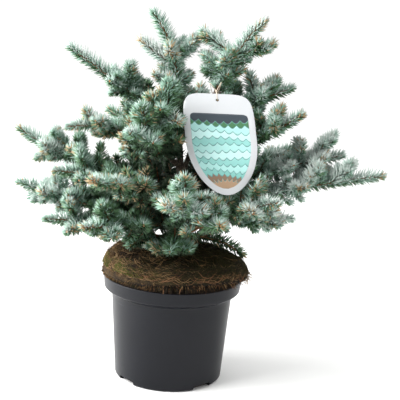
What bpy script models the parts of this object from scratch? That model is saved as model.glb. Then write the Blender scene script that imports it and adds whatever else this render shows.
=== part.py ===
"""A potted globosa blue spruce, about 61 cm tall, in its 23 cm black nursery pot.

Metres, Z up. The origin is the centre of the pot's flat underside, and the plant
is looked at along +Y. Each limb follows one bowed line from the trunk to its tip.
Its first stretch is the bough, and the rest is the stem of its mass of foliage.
"""

import math
import random
from typing import NamedTuple

import bmesh
import bpy
import numpy as np

# Pot: a thin-walled container with a wide rim band and drain notches in its foot
RIM_RADIUS = 0.115
POT_HEIGHT = 0.174
RIM_BAND = 0.021
WALL_TOP_RADIUS = 0.1005
BASE_RADIUS = 0.090
WALL = 0.0018
FLOOR = 0.0022
FOOT_ROUND = 0.004
RIM_SHOULDER = 0.009
BAND_TUCK = 0.003
BAND_ROUND = 0.003
BAND_TAPER = 0.0005
SHOULDER_LIFT = 0.001
POT_SIDES = 36
NOTCHES = 4
NOTCH_TURN = 42.0
NOTCH_WIDTH = 0.036
NOTCH_HEIGHT = 0.0075
NOTCH_DEPTH = 0.013
CUTTER_SPARE = 0.003

# Clearance kept between pieces that touch, and the distance at which fused points are one
GAP = 0.0003
WELD = 0.000003

# Who holds space in the room: the trunk, the label, its string, then the limbs in order
TRUNK_PLACE = 0
LABEL_PLACE = 1
STRING_PLACE = 2
FIRST_LIMB_PLACE = 3

# Root ball and the fibre mat on it, whose dome overhangs the rim at both sides
BALL_SHOULDER = 0.007
BALL_BAND_GAP = 0.002
BALL_CROWN_RADIUS = 0.088
MAT_CENTRE = (0.0035, 0.001)
MAT_HALF_WIDTH = 0.1215
MAT_HALF_DEPTH = 0.109
MAT_UNDERSIDE = POT_HEIGHT + 2 * GAP
MAT_EDGE_HEIGHT = 0.0055
MAT_TOP = 0.2220
MAT_SQUARENESS = 2.5
MAT_WAVE = 0.012
MAT_RINGS = (0.2, 0.42, 0.62, 0.78, 0.9, 0.97)
MAT_LIP = 0.94
MAT_SIDES = 30
MAT_SWELL = 0.0012

# Trunk: leans a little and tapers from a flared foot on the mat to its tip
TRUNK_FOOT = (0.009, 0.001)
TRUNK_TIP = (-0.010, 0.0)
TRUNK_TIP_HEIGHT = 0.474
TRUNK_BEND = 0.004
TRUNK_FOOT_RADIUS = 0.0095
TRUNK_TIP_RADIUS = 0.0036
TRUNK_FLARE = 0.0055
FLARE_HEIGHT = 0.012
TRUNK_SIDES = 10
TRUNK_RINGS = 11

# Boughs
BOUGH_FOOT_RADIUS = 0.0042
BOUGH_TIP_RADIUS = 0.0030
BOUGH_SIDES = 6
BOUGH_RINGS = 4
LINE_POINTS = 61

# Shoots: a spindle-shaped core with one swept needle on each facet, which stands for a spray
STEM_RADIUS = 0.0032
CORE_RADIUS = 0.0066
CORE_TIP_RADIUS = 0.0036
CORE_SIDES = 4
STEM_ROW = 0.0190
SHOOT_ROW = 0.0150
NEEDLE_REACH = 0.0175
NEEDLE_REACH_AT_TIP = 0.0085
NEEDLE_SWEEP = 0.0095
NEEDLE_SHARES = np.array([0.2, 0.4, 0.6, 0.8, 1.0])
NEEDLE_ROUNDS = np.array([0.0042, 0.0032, 0.0021, 0.0011, 0.0004])
BARE_FOOT = 0.010
SWELL = 0.014
TIP_CONE = 0.013
TIP_TAPER = 0.022
CORE_TAPER = 0.066
SHOOT_LIFT = 0.16
JITTER_DEGREES = 7.0
JITTER_LENGTH = 0.12
NEEDLE_ROOM = 0.0007
TWIG_ROOM = 0.0022
ROOT_ROOM = 0.012
TWIG_SAG = 0.05
SEED = 11

# Label that hangs by a string from the right leader
LABEL_WIDTH = 0.109
LABEL_HEIGHT = 0.1605
LABEL_THICKNESS = 0.0008
LABEL_HOLE_RADIUS = 0.0024
LABEL_HOLE_DROP = 0.0100
HOLE_SIDES = 12
LABEL_TOP_ROUND = 5.6
LABEL_FOOT_ROUND = 1.86
LABEL_UPPER_SHARE = 0.477
LABEL_SKEW = 0.1365
LABEL_SIDES = 30
LABEL_ROOM = 0.006
LABEL_HOLE = (0.0557, -0.0580, 0.4739)
LABEL_FOOT = (0.0781, -0.1143, 0.3361)
STRING_RADIUS = 0.0006
STRING_SEAT = 0.006
STRING_SIDES = 5
STRING_HUG_TURN = 105
STRING_STAND_OFF = 0.003
STRING_ROOM = 0.002
STRING_REFERENCE = (0.31, 0.22, 0.93)


class Whorl(NamedTuple):
    """Side shoots that leave one point of a stem, counted back from its tip."""
    back: float
    count: int
    length: float
    spread: float
    roll: float


class Limb(NamedTuple):
    """One limb: where it leaves the trunk, where its tip is, and how it bows."""
    name: str
    leaves_at: float
    azimuth: float
    reach: float
    tip_height: float
    bow: float
    bough_share: float
    whorls: tuple


# Side shoots of a usual limb, of one with none on top, and of a short one
BRANCHED = (Whorl(0.066, 3, 0.048, 48, 0), Whorl(0.118, 2, 0.056, 52, 90))
LEVEL = (Whorl(0.070, 2, 0.042, 46, 90), Whorl(0.120, 2, 0.054, 52, 80))
FORKED = (Whorl(0.060, 3, 0.044, 50, 0),)

# Side shoots of the limbs whose own pattern shows against the sky
LEFT_LEADER = (Whorl(0.093, 1, 0.062, 52, 180), Whorl(0.084, 1, 0.046, 61, 0), Whorl(0.086, 2, 0.034, 58, 90),
               Whorl(0.116, 1, 0.032, 68, 180), Whorl(0.122, 2, 0.028, 62, 0), Whorl(0.132, 1, 0.038, 72, 180),
               Whorl(0.128, 1, 0.055, 80, 130), Whorl(0.130, 2, 0.034, 58, 20))
RIGHT_LEADER = (Whorl(0.074, 1, 0.060, 92, 0), Whorl(0.070, 1, 0.061, 50, 180),
                Whorl(0.098, 1, 0.046, 96, 0), Whorl(0.100, 2, 0.032, 52, 110), Whorl(0.108, 1, 0.030, 50, 180),
                Whorl(0.113, 1, 0.038, 96, 0), Whorl(0.122, 2, 0.034, 56, 70))
UPPER_LEFT = (Whorl(0.116, 1, 0.036, 66, 0), Whorl(0.108, 2, 0.040, 48, 110), Whorl(0.130, 1, 0.034, 40, 180),
              Whorl(0.126, 1, 0.026, 62, 0), Whorl(0.132, 2, 0.050, 66, 110))
LEFT_FRONT_HIGH = (Whorl(0.052, 1, 0.034, 38, 0), Whorl(0.070, 2, 0.042, 46, 90),
                   Whorl(0.092, 1, 0.046, 34, 180), Whorl(0.120, 2, 0.054, 52, 80),
                   Whorl(0.124, 1, 0.040, 56, 180))
LEFT_MID = (Whorl(0.080, 1, 0.036, 66, 0), Whorl(0.072, 1, 0.038, 60, 180), Whorl(0.112, 1, 0.036, 84, 0),
            Whorl(0.088, 2, 0.045, 50, 90), Whorl(0.135, 2, 0.050, 54, 70))
LEFT_LOW = (Whorl(0.080, 1, 0.064, 25, 185), Whorl(0.074, 1, 0.030, 68, 0), Whorl(0.078, 2, 0.046, 50, 90),
            Whorl(0.115, 1, 0.058, 38, 172), Whorl(0.128, 2, 0.054, 54, 90))
RIGHT_TOP = (Whorl(0.064, 1, 0.050, 26, 0), Whorl(0.070, 2, 0.036, 50, 110), Whorl(0.067, 1, 0.048, 80, 0),
             Whorl(0.108, 2, 0.050, 56, 60))
FRONT_HIGH = (Whorl(0.060, 1, 0.058, 62, 0), Whorl(0.060, 2, 0.044, 50, 120))
FRONT_RIGHT_LOW = (Whorl(0.066, 1, 0.044, 48, 0), Whorl(0.066, 2, 0.034, 42, 100),
                   Whorl(0.118, 2, 0.046, 52, 60))
RIGHT_HIGH = (Whorl(0.066, 1, 0.044, 40, 0), Whorl(0.074, 1, 0.036, 80, 0), Whorl(0.066, 2, 0.034, 48, 112),
              Whorl(0.108, 1, 0.056, 66, 30), Whorl(0.118, 2, 0.036, 56, 110))
RIGHT_BACK = (Whorl(0.050, 2, 0.030, 52, 90), Whorl(0.120, 2, 0.050, 52, 80))
RIGHT_MID = (Whorl(0.066, 1, 0.069, 34, 0), Whorl(0.068, 2, 0.044, 46, 90), Whorl(0.080, 1, 0.036, 74, 0),
             Whorl(0.122, 2, 0.054, 52, 90))
RIGHT_LOW = (Whorl(0.090, 1, 0.050, 24, 0), Whorl(0.110, 1, 0.040, 50, 60), Whorl(0.116, 1, 0.030, 64, 20),
             Whorl(0.135, 1, 0.050, 52, 320), Whorl(0.160, 2, 0.050, 52, 90), Whorl(0.190, 1, 0.060, 46, 180))
RIGHT_BACK_LOW = (Whorl(0.066, 2, 0.044, 46, 60), Whorl(0.075, 1, 0.044, 50, 180),
                  Whorl(0.098, 1, 0.030, 50, 180), Whorl(0.118, 2, 0.056, 52, 90))

# The limbs, from the leaders down. A share of 0 is a mass whose stem meets the trunk
LIMBS = (
    Limb("right_leader", 0.354, 347, 0.130, 0.599, 0.040, 0.50, RIGHT_LEADER),
    Limb("upper_left", 0.426, 192, 0.186, 0.543, 0.000, 0.34, UPPER_LEFT),
    Limb("right_top", 0.420, 0, 0.180, 0.495, 0.002, 0.36, RIGHT_TOP),
    Limb("left_front_high", 0.362, 207, 0.197, 0.421, 0.024, 0.36, LEFT_FRONT_HIGH),
    Limb("left_mid", 0.338, 176, 0.270, 0.403, -0.024, 0.40, LEFT_MID),
    Limb("left_low", 0.285, 180, 0.267, 0.316, -0.010, 0.40, LEFT_LOW),
    Limb("front_left", 0.300, 239, 0.234, 0.364, 0.000, 0.38, LEVEL),
    Limb("left_front_low", 0.252, 196, 0.221, 0.269, 0.002, 0.38, BRANCHED),
    Limb("front_low", 0.290, 274, 0.241, 0.353, -0.004, 0.38, BRANCHED),
    Limb("front_right_low", 0.262, 288, 0.231, 0.313, -0.004, 0.38, FRONT_RIGHT_LOW),
    Limb("front_right", 0.278, 317, 0.218, 0.336, 0.000, 0.38, BRANCHED),
    Limb("right_low", 0.290, 355, 0.335, 0.366, 0.003, 0.42, RIGHT_LOW),
    Limb("right_mid", 0.322, 2, 0.273, 0.390, 0.000, 0.40, RIGHT_MID),
    Limb("right_back", 0.308, 30, 0.226, 0.382, 0.000, 0.38, RIGHT_BACK),
    Limb("back_right", 0.335, 62, 0.240, 0.385, 0.000, 0.38, BRANCHED),
    Limb("back_left", 0.315, 112, 0.250, 0.370, 0.000, 0.38, BRANCHED),
    Limb("back_low", 0.275, 88, 0.225, 0.300, 0.000, 0.38, BRANCHED),
    Limb("back_high", 0.395, 78, 0.195, 0.455, 0.000, 0.36, BRANCHED),
    Limb("left_leader", TRUNK_TIP_HEIGHT, 180, 0.056, 0.605, 0.000, 0, LEFT_LEADER),
    Limb("left_back_high", 0.385, 152, 0.145, 0.436, 0.000, 0, FORKED),
    Limb("front_left_high", 0.375, 249, 0.196, 0.433, 0.006, 0, BRANCHED),
    Limb("front_high", 0.410, 260, 0.160, 0.467, 0.004, 0, FRONT_HIGH),
    Limb("right_high", 0.335, 350, 0.200, 0.459, 0.000, 0, RIGHT_HIGH),
    Limb("left_front", 0.312, 202, 0.211, 0.351, 0.008, 0, BRANCHED),
    Limb("front_left_low", 0.262, 228, 0.205, 0.281, 0.000, 0, BRANCHED),
    Limb("right_back_low", 0.262, 24, 0.225, 0.257, 0.006, 0, RIGHT_BACK_LOW),
    Limb("back_left_low", 0.262, 147, 0.216, 0.284, 0.000, 0, BRANCHED),
    Limb("back_top", 0.440, 96, 0.130, 0.492, 0.000, 0, FORKED),
    Limb("droop_front", 0.234, 268, 0.118, 0.238, 0.010, 0, FORKED),
    Limb("droop_left", 0.236, 222, 0.100, 0.232, 0.010, 0, FORKED),
    Limb("droop_right", 0.240, 10, 0.122, 0.204, 0.011, 0, ()),
)


def unit(vector):
    """The vector at length one."""
    vector = np.asarray(vector, float)
    return vector / np.linalg.norm(vector)


def material(name, colour, roughness=0.7, metallic=0.0):
    """A plain finish in the part's own colour."""
    finish = bpy.data.materials.new(name)
    finish.use_nodes = True
    shader = finish.node_tree.nodes["Principled BSDF"]
    shader.inputs["Base Color"].default_value = (*colour, 1.0)
    shader.inputs["Roughness"].default_value = roughness
    shader.inputs["Metallic"].default_value = metallic
    return finish


def new_object(name, points, faces, finish=None):
    """An object made of points and faces, linked to the scene."""
    mesh = bpy.data.meshes.new(name)
    mesh.from_pydata([tuple(point) for point in points], [], [tuple(face) for face in faces])
    mesh.update()
    piece = bpy.data.objects.new(name, mesh)
    bpy.context.scene.collection.objects.link(piece)
    if finish:
        mesh.materials.append(finish)
    return piece


def skin(rings, start=None, end=None):
    """Faces round a stack of rings, each closed end a fan to a point or one flat face."""
    points = [point for ring in rings for point in ring]
    sides = len(rings[0])
    faces = []
    for row in range(len(rings) - 1):
        for side in range(sides):
            beside = (side + 1) % sides
            low, high = row * sides, (row + 1) * sides
            faces.append((low + side, low + beside, high + beside, high + side))
    last = (len(rings) - 1) * sides
    if start is None:
        faces.append(tuple(reversed(range(sides))))
    else:
        points.append(start)
        faces += [(len(points) - 1, (side + 1) % sides, side) for side in range(sides)]
    if end is None:
        faces.append(tuple(range(last, last + sides)))
    else:
        points.append(end)
        faces += [(last + side, last + (side + 1) % sides, len(points) - 1) for side in range(sides)]
    return points, faces


def circle(radius, height, sides, centre=(0.0, 0.0)):
    """A level ring of points."""
    turns = np.arange(sides) * 2 * math.pi / sides
    return np.stack([centre[0] + radius * np.cos(turns), centre[1] + radius * np.sin(turns),
                     np.full(sides, height)], axis=1)


def bowed_line(start, end, bow, count):
    """A parabola from start to end whose middle is lifted by bow."""
    share = np.linspace(0, 1, count)[:, None]
    lift = np.array([0, 0, 1.0]) * bow * 4 * share * (1 - share)
    return start + (end - start) * share + lift


def lengths_along(line):
    """How far each point of a line is from its start, measured along it."""
    steps = np.linalg.norm(np.diff(line, axis=0), axis=1)
    return np.concatenate([[0.0], np.cumsum(steps)])


def at_length(line, length):
    """Point or points of a line at a length from its start."""
    along = lengths_along(line)
    return np.stack([np.interp(length, along, line[:, axis]) for axis in range(3)], axis=-1)


def heading_at(line, length):
    """The direction of a line at a length from its start."""
    step = 0.002
    total = lengths_along(line)[-1]
    behind = at_length(line, max(length - step, 0.0))
    ahead = at_length(line, min(length + step, total))
    return unit(ahead - behind)


def around(heading, azimuth):
    """Two directions square to a heading: upwards in its own vertical plane, and sideways."""
    turn = math.radians(azimuth)
    sideways = np.array([-math.sin(turn), math.cos(turn), 0.0])
    upwards = unit(np.cross(heading, sideways))
    return upwards, unit(np.cross(upwards, heading))


class Room:
    """The space already taken, kept as balls that each belong to a node."""

    def __init__(self):
        self.centres = np.zeros((0, 3))
        self.radii = np.zeros(0)
        self.owners = np.zeros(0, int)
        self.shoots = np.zeros(0, int)

    def take(self, owner, centres, radii, shoot=0):
        """Adds balls for a node, or for one shoot of it."""
        centres = np.atleast_2d(centres)
        self.centres = np.vstack([self.centres, centres])
        self.radii = np.concatenate([self.radii, np.broadcast_to(radii, len(centres))])
        self.owners = np.concatenate([self.owners, np.full(len(centres), owner)])
        self.shoots = np.concatenate([self.shoots, np.full(len(centres), shoot)])

    def is_free(self, owner, centres, radii, clearance, shoot=None):
        """Whether balls keep clear of other nodes, or of all but one shoot, and of the mat and rim."""
        centres = np.atleast_2d(centres)
        radii = np.broadcast_to(radii, len(centres))
        ground = np.array([mat_height(x, y) for x, y, _ in centres])
        if np.any(centres[:, 2] - radii < ground + clearance):
            return False
        others = self.owners != owner
        if shoot is not None:
            others |= self.shoots != shoot
        apart = np.linalg.norm(self.centres[others][None] - centres[:, None], axis=2)
        return bool(np.all(apart > self.radii[others][None] + radii[:, None] + clearance))


def mat_outline(turn):
    """Distance from the mat's centre to its wavy edge, at a turn in radians."""
    ellipse = 1 / math.hypot(math.cos(turn) / MAT_HALF_WIDTH, math.sin(turn) / MAT_HALF_DEPTH)
    wave = math.sin(3 * turn + 0.6) + 0.7 * math.sin(7 * turn + 2.1) + 0.5 * math.sin(11 * turn)
    return ellipse * (1 + MAT_WAVE * wave * 0.6)


def mat_dome(share):
    """Height of the mat's dome at a share of the way from its centre to its edge."""
    rise = (1 - min(share, 1.0) ** MAT_SQUARENESS) ** (1 / MAT_SQUARENESS)
    edge = MAT_UNDERSIDE + MAT_EDGE_HEIGHT
    return edge + (MAT_TOP - edge) * rise


def mat_height(x, y):
    """Height of what a drooping twig would touch: the mat, the rim, or nothing."""
    across, deep = x - MAT_CENTRE[0], y - MAT_CENTRE[1]
    share = math.hypot(across, deep) / mat_outline(math.atan2(deep, across))
    if share < 1:
        return mat_dome(share)
    return POT_HEIGHT if math.hypot(x, y) < RIM_RADIUS else 0.0


def trunk_centre(height):
    """The trunk's middle at a height: a slight lean with one bend."""
    share = (height - MAT_TOP) / (TRUNK_TIP_HEIGHT - MAT_TOP)
    sway = TRUNK_BEND * math.sin(math.pi * share)
    return np.array([TRUNK_FOOT[0] + (TRUNK_TIP[0] - TRUNK_FOOT[0]) * share + sway,
                     TRUNK_FOOT[1] + (TRUNK_TIP[1] - TRUNK_FOOT[1]) * share - sway, height])


def trunk_radius(height):
    """The trunk's radius at a height: a straight taper and a flare at the foot."""
    share = (height - MAT_TOP) / (TRUNK_TIP_HEIGHT - MAT_TOP)
    taper = TRUNK_FOOT_RADIUS + (TRUNK_TIP_RADIUS - TRUNK_FOOT_RADIUS) * share
    return taper + TRUNK_FLARE * math.exp(-(height - MAT_TOP) / FLARE_HEIGHT)


def limb_line(limb):
    """The middle line of a limb, from the trunk's surface to its tip."""
    turn = math.radians(limb.azimuth)
    tip = np.array([limb.reach * math.cos(turn), limb.reach * math.sin(turn), limb.tip_height])
    centre = trunk_centre(limb.leaves_at)
    if limb.leaves_at >= TRUNK_TIP_HEIGHT:
        start = centre + np.array([0, 0, GAP])
        upright = start + np.array([0.02, 0, 1.0]) * 0.56 * (tip[2] - start[2])
        share = np.linspace(0, 1, LINE_POINTS)[:, None]
        return start * (1 - share) ** 2 + 2 * upright * share * (1 - share) + tip * share ** 2
    outwards = unit([tip[0] - centre[0], tip[1] - centre[1], 0])
    start = centre + outwards * (trunk_radius(limb.leaves_at) + GAP)
    return bowed_line(start, tip, limb.bow, LINE_POINTS)


def seated(points, heading):
    """Slides points along a limb until each is two gaps off the trunk, or a gap above its tip."""
    places = []
    for point in np.atleast_2d(points):
        if point[2] > TRUNK_TIP_HEIGHT - GAP:
            places.append([point[0], point[1], TRUNK_TIP_HEIGHT + GAP])
            continue
        steps = point - heading * np.linspace(-0.02, 0.03, 501)[:, None]
        off = np.array([math.dist(step[:2], trunk_centre(step[2])[:2])
                        - trunk_radius(step[2]) - 2 * GAP for step in steps])
        places.append(steps[np.argmax(off < 0) - 1])
    return np.array(places)


def tube_rings(line, radii, sides, azimuth, twist=0.0):
    """Rings of points square to a line, each turned a little past the last."""
    rings = []
    for row, centre in enumerate(line):
        ahead = line[min(row + 1, len(line) - 1)]
        behind = line[max(row - 1, 0)]
        upwards, sideways = around(unit(ahead - behind), azimuth)
        turns = np.arange(sides) * 2 * math.pi / sides + row * twist
        ring = np.cos(turns)[:, None] * upwards + np.sin(turns)[:, None] * -sideways
        rings.append(centre + radii[row] * ring)
    return rings


def build_pot(finish):
    """The pot, turned from its profile, with notches cut through the foot's corner."""
    band_foot = POT_HEIGHT - RIM_BAND
    outside = [(BASE_RADIUS - FOOT_ROUND, 0.0),
               (BASE_RADIUS - FOOT_ROUND * 0.3, FOOT_ROUND * 0.3),
               (BASE_RADIUS, FOOT_ROUND),
               (WALL_TOP_RADIUS, band_foot - RIM_SHOULDER),
               (RIM_RADIUS - BAND_TUCK, band_foot - SHOULDER_LIFT),
               (RIM_RADIUS - BAND_TAPER, band_foot + BAND_ROUND),
               (RIM_RADIUS, POT_HEIGHT)]
    inside = [(RIM_RADIUS - WALL, POT_HEIGHT),
              (RIM_RADIUS - BAND_TAPER - WALL, band_foot + BAND_ROUND),
              (RIM_RADIUS - BAND_TUCK - WALL, band_foot + SHOULDER_LIFT / 2),
              (WALL_TOP_RADIUS - WALL, band_foot - RIM_SHOULDER + SHOULDER_LIFT),
              (BASE_RADIUS - WALL, FLOOR + FOOT_ROUND),
              (BASE_RADIUS - WALL - FOOT_ROUND, FLOOR)]
    rings = [circle(radius, height, POT_SIDES) for radius, height in outside + inside]
    points, faces = skin(rings, start=(0, 0, 0), end=(0, 0, FLOOR))
    pot = new_object("pot", points, faces, finish)
    for notch in range(NOTCHES):
        turn = math.radians(NOTCH_TURN) + notch * 2 * math.pi / NOTCHES
        bpy.ops.mesh.primitive_cube_add(size=1.0, rotation=(0, 0, turn))
        cutter = bpy.context.object
        cutter.name = f"notch_cutter_{notch}"
        middle = BASE_RADIUS + CUTTER_SPARE - NOTCH_DEPTH / 2
        cutter.location = (middle * math.cos(turn), middle * math.sin(turn),
                           (NOTCH_HEIGHT - CUTTER_SPARE) / 2)
        cutter.scale = (NOTCH_DEPTH, NOTCH_WIDTH, NOTCH_HEIGHT + CUTTER_SPARE)
        cutter.hide_render = True
        cutter.display_type = 'WIRE'
        cut = pot.modifiers.new(cutter.name, 'BOOLEAN')
        cut.operation = 'DIFFERENCE'
        cut.solver = 'EXACT'
        cut.object = cutter
    return pot


def build_root_ball(finish):
    """The peat and roots that fill the pot, a gap off its floor and wall."""
    band_foot = POT_HEIGHT - RIM_BAND
    floor = FLOOR + GAP
    slack = WALL + 2 * GAP
    under_band = RIM_RADIUS - BAND_TUCK - slack - BALL_BAND_GAP
    profile = [(BASE_RADIUS - slack - FOOT_ROUND, floor),
               (BASE_RADIUS - slack, floor + FOOT_ROUND + 2 * GAP),
               (WALL_TOP_RADIUS - slack, band_foot - RIM_SHOULDER + 2 * SHOULDER_LIFT),
               (under_band, band_foot + 2 * SHOULDER_LIFT),
               (under_band, POT_HEIGHT - BALL_SHOULDER),
               (BALL_CROWN_RADIUS, MAT_UNDERSIDE - GAP)]
    rings = [circle(radius, height, POT_SIDES) for radius, height in profile]
    points, faces = skin(rings)
    return new_object("root_ball", points, faces, finish)


def build_mat(finish):
    """The domed fibre mat, with a wavy overhanging edge and a flat underside."""
    turns = np.arange(MAT_SIDES) * 2 * math.pi / MAT_SIDES
    edge = MAT_UNDERSIDE + MAT_EDGE_HEIGHT

    def ring(share, heights):
        reach = np.array([mat_outline(turn) for turn in turns]) * share
        return np.stack([MAT_CENTRE[0] + reach * np.cos(turns), MAT_CENTRE[1] + reach * np.sin(turns),
                         np.broadcast_to(heights, len(turns))], axis=1)

    rings = [ring(MAT_LIP, MAT_UNDERSIDE), ring(1.0, edge - 0.002), ring(1.0, edge)]
    for share in reversed(MAT_RINGS[1:]):
        swell = MAT_SWELL * np.sin(5 * turns + 9 * share) * share
        rings.append(ring(share, mat_dome(share) + swell))
    rings.append(ring(MAT_RINGS[0], MAT_TOP))
    points, faces = skin(rings)
    return new_object("fibre_mat", points, faces, finish)


def build_trunk(finish):
    """The trunk, whole from its flat foot on the mat to its tip."""
    foot = MAT_TOP + GAP
    share = np.linspace(0, 1, TRUNK_RINGS) ** 1.4
    heights = foot + (TRUNK_TIP_HEIGHT - foot) * share
    rings = [circle(trunk_radius(height), height, TRUNK_SIDES, trunk_centre(height))
             for height in heights]
    points, faces = skin(rings)
    return new_object("trunk", points, faces, finish)


def build_bough(limb, finish):
    """The bare first stretch of a limb, seated on the trunk."""
    whole = limb_line(limb)
    total = lengths_along(whole)[-1]
    stops = np.linspace(0, total * limb.bough_share, BOUGH_RINGS)
    line = at_length(whole, stops)
    radii = np.linspace(BOUGH_FOOT_RADIUS, BOUGH_TIP_RADIUS, BOUGH_RINGS)
    rings = tube_rings(line, radii, BOUGH_SIDES, limb.azimuth)
    heading = heading_at(whole, 0.0)
    rings[0] = seated(rings[0], heading)
    points, faces = skin(rings, start=seated(line[0], heading)[0])
    return new_object(f"bough_{limb.name}", points, faces, finish)


class Shoot(NamedTuple):
    """A leafy shoot: its middle line, the spacing of its needles, and whether it meets the trunk."""
    line: np.ndarray
    row: float
    azimuth: float
    on_trunk: bool


def core_radius(along, total):
    """The radius of a shoot's core: a thin foot that swells, then tapers to the tip."""
    swell = np.clip((along - SWELL * 0.5) / SWELL, 0, 1)
    taper = np.clip((total - along) / CORE_TAPER, 0, 1)
    body = CORE_TIP_RADIUS + (CORE_RADIUS - CORE_TIP_RADIUS) * taper
    return STEM_RADIUS + (body - STEM_RADIUS) * swell


def mass_shoots(limb, draw):
    """The stem of a mass and the side shoots that its whorls give it."""
    whole = limb_line(limb)
    total = lengths_along(whole)[-1]
    first = total * limb.bough_share + (GAP if limb.bough_share else 0)
    line = at_length(whole, np.linspace(first, total, 31))
    length = total - first
    shoots = [Shoot(line, STEM_ROW, limb.azimuth, not limb.bough_share)]
    for whorl in limb.whorls:
        place = length - whorl.back
        if place < BARE_FOOT:
            continue
        root = at_length(line, place)
        heading = heading_at(line, place)
        upwards, sideways = around(heading, limb.azimuth)
        for turn in range(whorl.count):
            roll = whorl.roll + 360 * turn / whorl.count + draw.uniform(-1, 1) * JITTER_DEGREES
            spread = math.radians(whorl.spread + draw.uniform(-1, 1) * JITTER_DEGREES)
            away = math.cos(math.radians(roll)) * upwards + math.sin(math.radians(roll)) * sideways
            reach = whorl.length * (1 + draw.uniform(-1, 1) * JITTER_LENGTH)
            direction = math.cos(spread) * heading + math.sin(spread) * away
            tip = root + direction * reach + np.array([0, 0, SHOOT_LIFT * reach])
            twig = bowed_line(root, tip, -TWIG_SAG * reach, 15)
            shoots.append(Shoot(twig, SHOOT_ROW, limb.azimuth, False))
    return shoots


def needle_balls(root, tip, row):
    """Balls that stand for a needle, thick at its root and fine at its tip."""
    return root + (tip - root) * NEEDLE_SHARES[:, None], NEEDLE_ROUNDS * row / SHOOT_ROW


def build_shoot(name, owner, number, shoot, room):
    """A tapering core along the shoot, whose facets rise to needles where there is room."""
    total = lengths_along(shoot.line)[-1]
    rows = max(2, round((total - TIP_CONE) / shoot.row))
    stops = np.linspace(0, total - TIP_CONE, rows + 1)
    line = at_length(shoot.line, stops)
    radii = core_radius(stops, total)
    rings = tube_rings(line, radii, CORE_SIDES, shoot.azimuth, math.pi / CORE_SIDES)
    start = None
    if shoot.on_trunk:
        heading = heading_at(shoot.line, 0.0)
        rings[0] = seated(rings[0], heading)
        start = seated(line[0], heading)[0]
    points, faces = skin(rings, start=start, end=at_length(shoot.line, total))
    points = [np.asarray(point) for point in points]
    facets, others = faces[:rows * CORE_SIDES], faces[rows * CORE_SIDES:]
    for place, facet in enumerate(facets):
        row = place // CORE_SIDES
        along = (stops[row] + stops[row + 1]) / 2
        root = sum(points[corner] for corner in facet) / 4
        tip = needle_tip(shoot.line, along, total, root)
        centres, sizes = needle_balls(root, tip, shoot.row)
        if along < BARE_FOOT or not room.is_free(owner, centres, sizes, NEEDLE_ROOM, number):
            others.append(facet)
            continue
        room.take(owner, centres, sizes, number)
        points.append(tip)
        top = len(points) - 1
        others += [(facet[side], facet[(side + 1) % 4], top) for side in range(4)]
    return new_object(name, points, others)


def needle_tip(line, along, total, root):
    """Where the needle on a facet ends: out from the shoot and swept forward."""
    axis = at_length(line, along)
    heading = heading_at(line, along)
    outwards = root - axis
    outwards = unit(outwards - heading * (outwards @ heading))
    near_tip = min(1.0, (total - along) / TIP_TAPER)
    reach = NEEDLE_REACH_AT_TIP + (NEEDLE_REACH - NEEDLE_REACH_AT_TIP) * near_tip
    return axis + outwards * reach + heading * NEEDLE_SWEEP


def shells_of(mesh):
    """The triangles of a mesh, in groups that hang together by edges of just two triangles."""
    mesh.calc_loop_triangles()
    faces = [tuple(face.vertices) for face in mesh.loop_triangles]
    by_edge = {}
    for number, corners in enumerate(faces):
        for side in range(3):
            edge = frozenset((corners[side], corners[side - 1]))
            by_edge.setdefault(edge, []).append(number)
    shells, seen = [], set()
    for number in range(len(faces)):
        if number in seen:
            continue
        shell, waiting = [], [number]
        seen.add(number)
        while waiting:
            corners = faces[waiting.pop()]
            shell.append(corners)
            for side in range(3):
                sharers = by_edge[frozenset((corners[side], corners[side - 1]))]
                for beside in sharers if len(sharers) == 2 else ():
                    if beside not in seen:
                        seen.add(beside)
                        waiting.append(beside)
        shells.append(shell)
    return shells


def fuse(name, pieces, finish):
    """Joins shoots into one solid, then fills sealed hollows and drops loose scraps."""
    first, others = pieces[0], pieces[1:]
    if others:
        group = bpy.data.collections.new(f"{name}_shoots")
        bpy.context.scene.collection.children.link(group)
        for piece in others:
            bpy.context.scene.collection.objects.unlink(piece)
            group.objects.link(piece)
        union = first.modifiers.new("fuse", 'BOOLEAN')
        union.operation = 'UNION'
        union.operand_type = 'COLLECTION'
        union.collection = group
        union.solver = 'EXACT'
    bpy.context.view_layer.update()
    fused = bpy.data.meshes.new_from_object(first.evaluated_get(bpy.context.evaluated_depsgraph_get()))
    work = bmesh.new()
    work.from_mesh(fused)
    bmesh.ops.triangulate(work, faces=work.faces)
    bmesh.ops.remove_doubles(work, verts=work.verts, dist=WELD)
    work.to_mesh(fused)
    work.free()
    outside = max(shells_of(fused), key=len)
    used = sorted({vertex for face in outside for vertex in face})
    place = {vertex: number for number, vertex in enumerate(used)}
    points = [tuple(fused.vertices[vertex].co) for vertex in used]
    faces = [tuple(place[vertex] for vertex in face) for face in outside]
    bpy.data.meshes.remove(fused)
    for piece in pieces:
        bpy.data.objects.remove(piece)
    if others:
        bpy.data.collections.remove(group)
    return new_object(name, points, faces, finish)


def has_room(owner, shoot, room):
    """Whether a shoot's core keeps clear of other nodes past its own root."""
    total = lengths_along(shoot.line)[-1]
    stops = np.arange(ROOT_ROOM, total, 0.004)
    return room.is_free(owner, at_length(shoot.line, stops), core_radius(stops, total), TWIG_ROOM)


def core_balls(shoot):
    """Balls along the core of a shoot."""
    total = lengths_along(shoot.line)[-1]
    stops = np.arange(0.002, total, 0.003)
    return at_length(shoot.line, stops), core_radius(stops, total)


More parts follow.
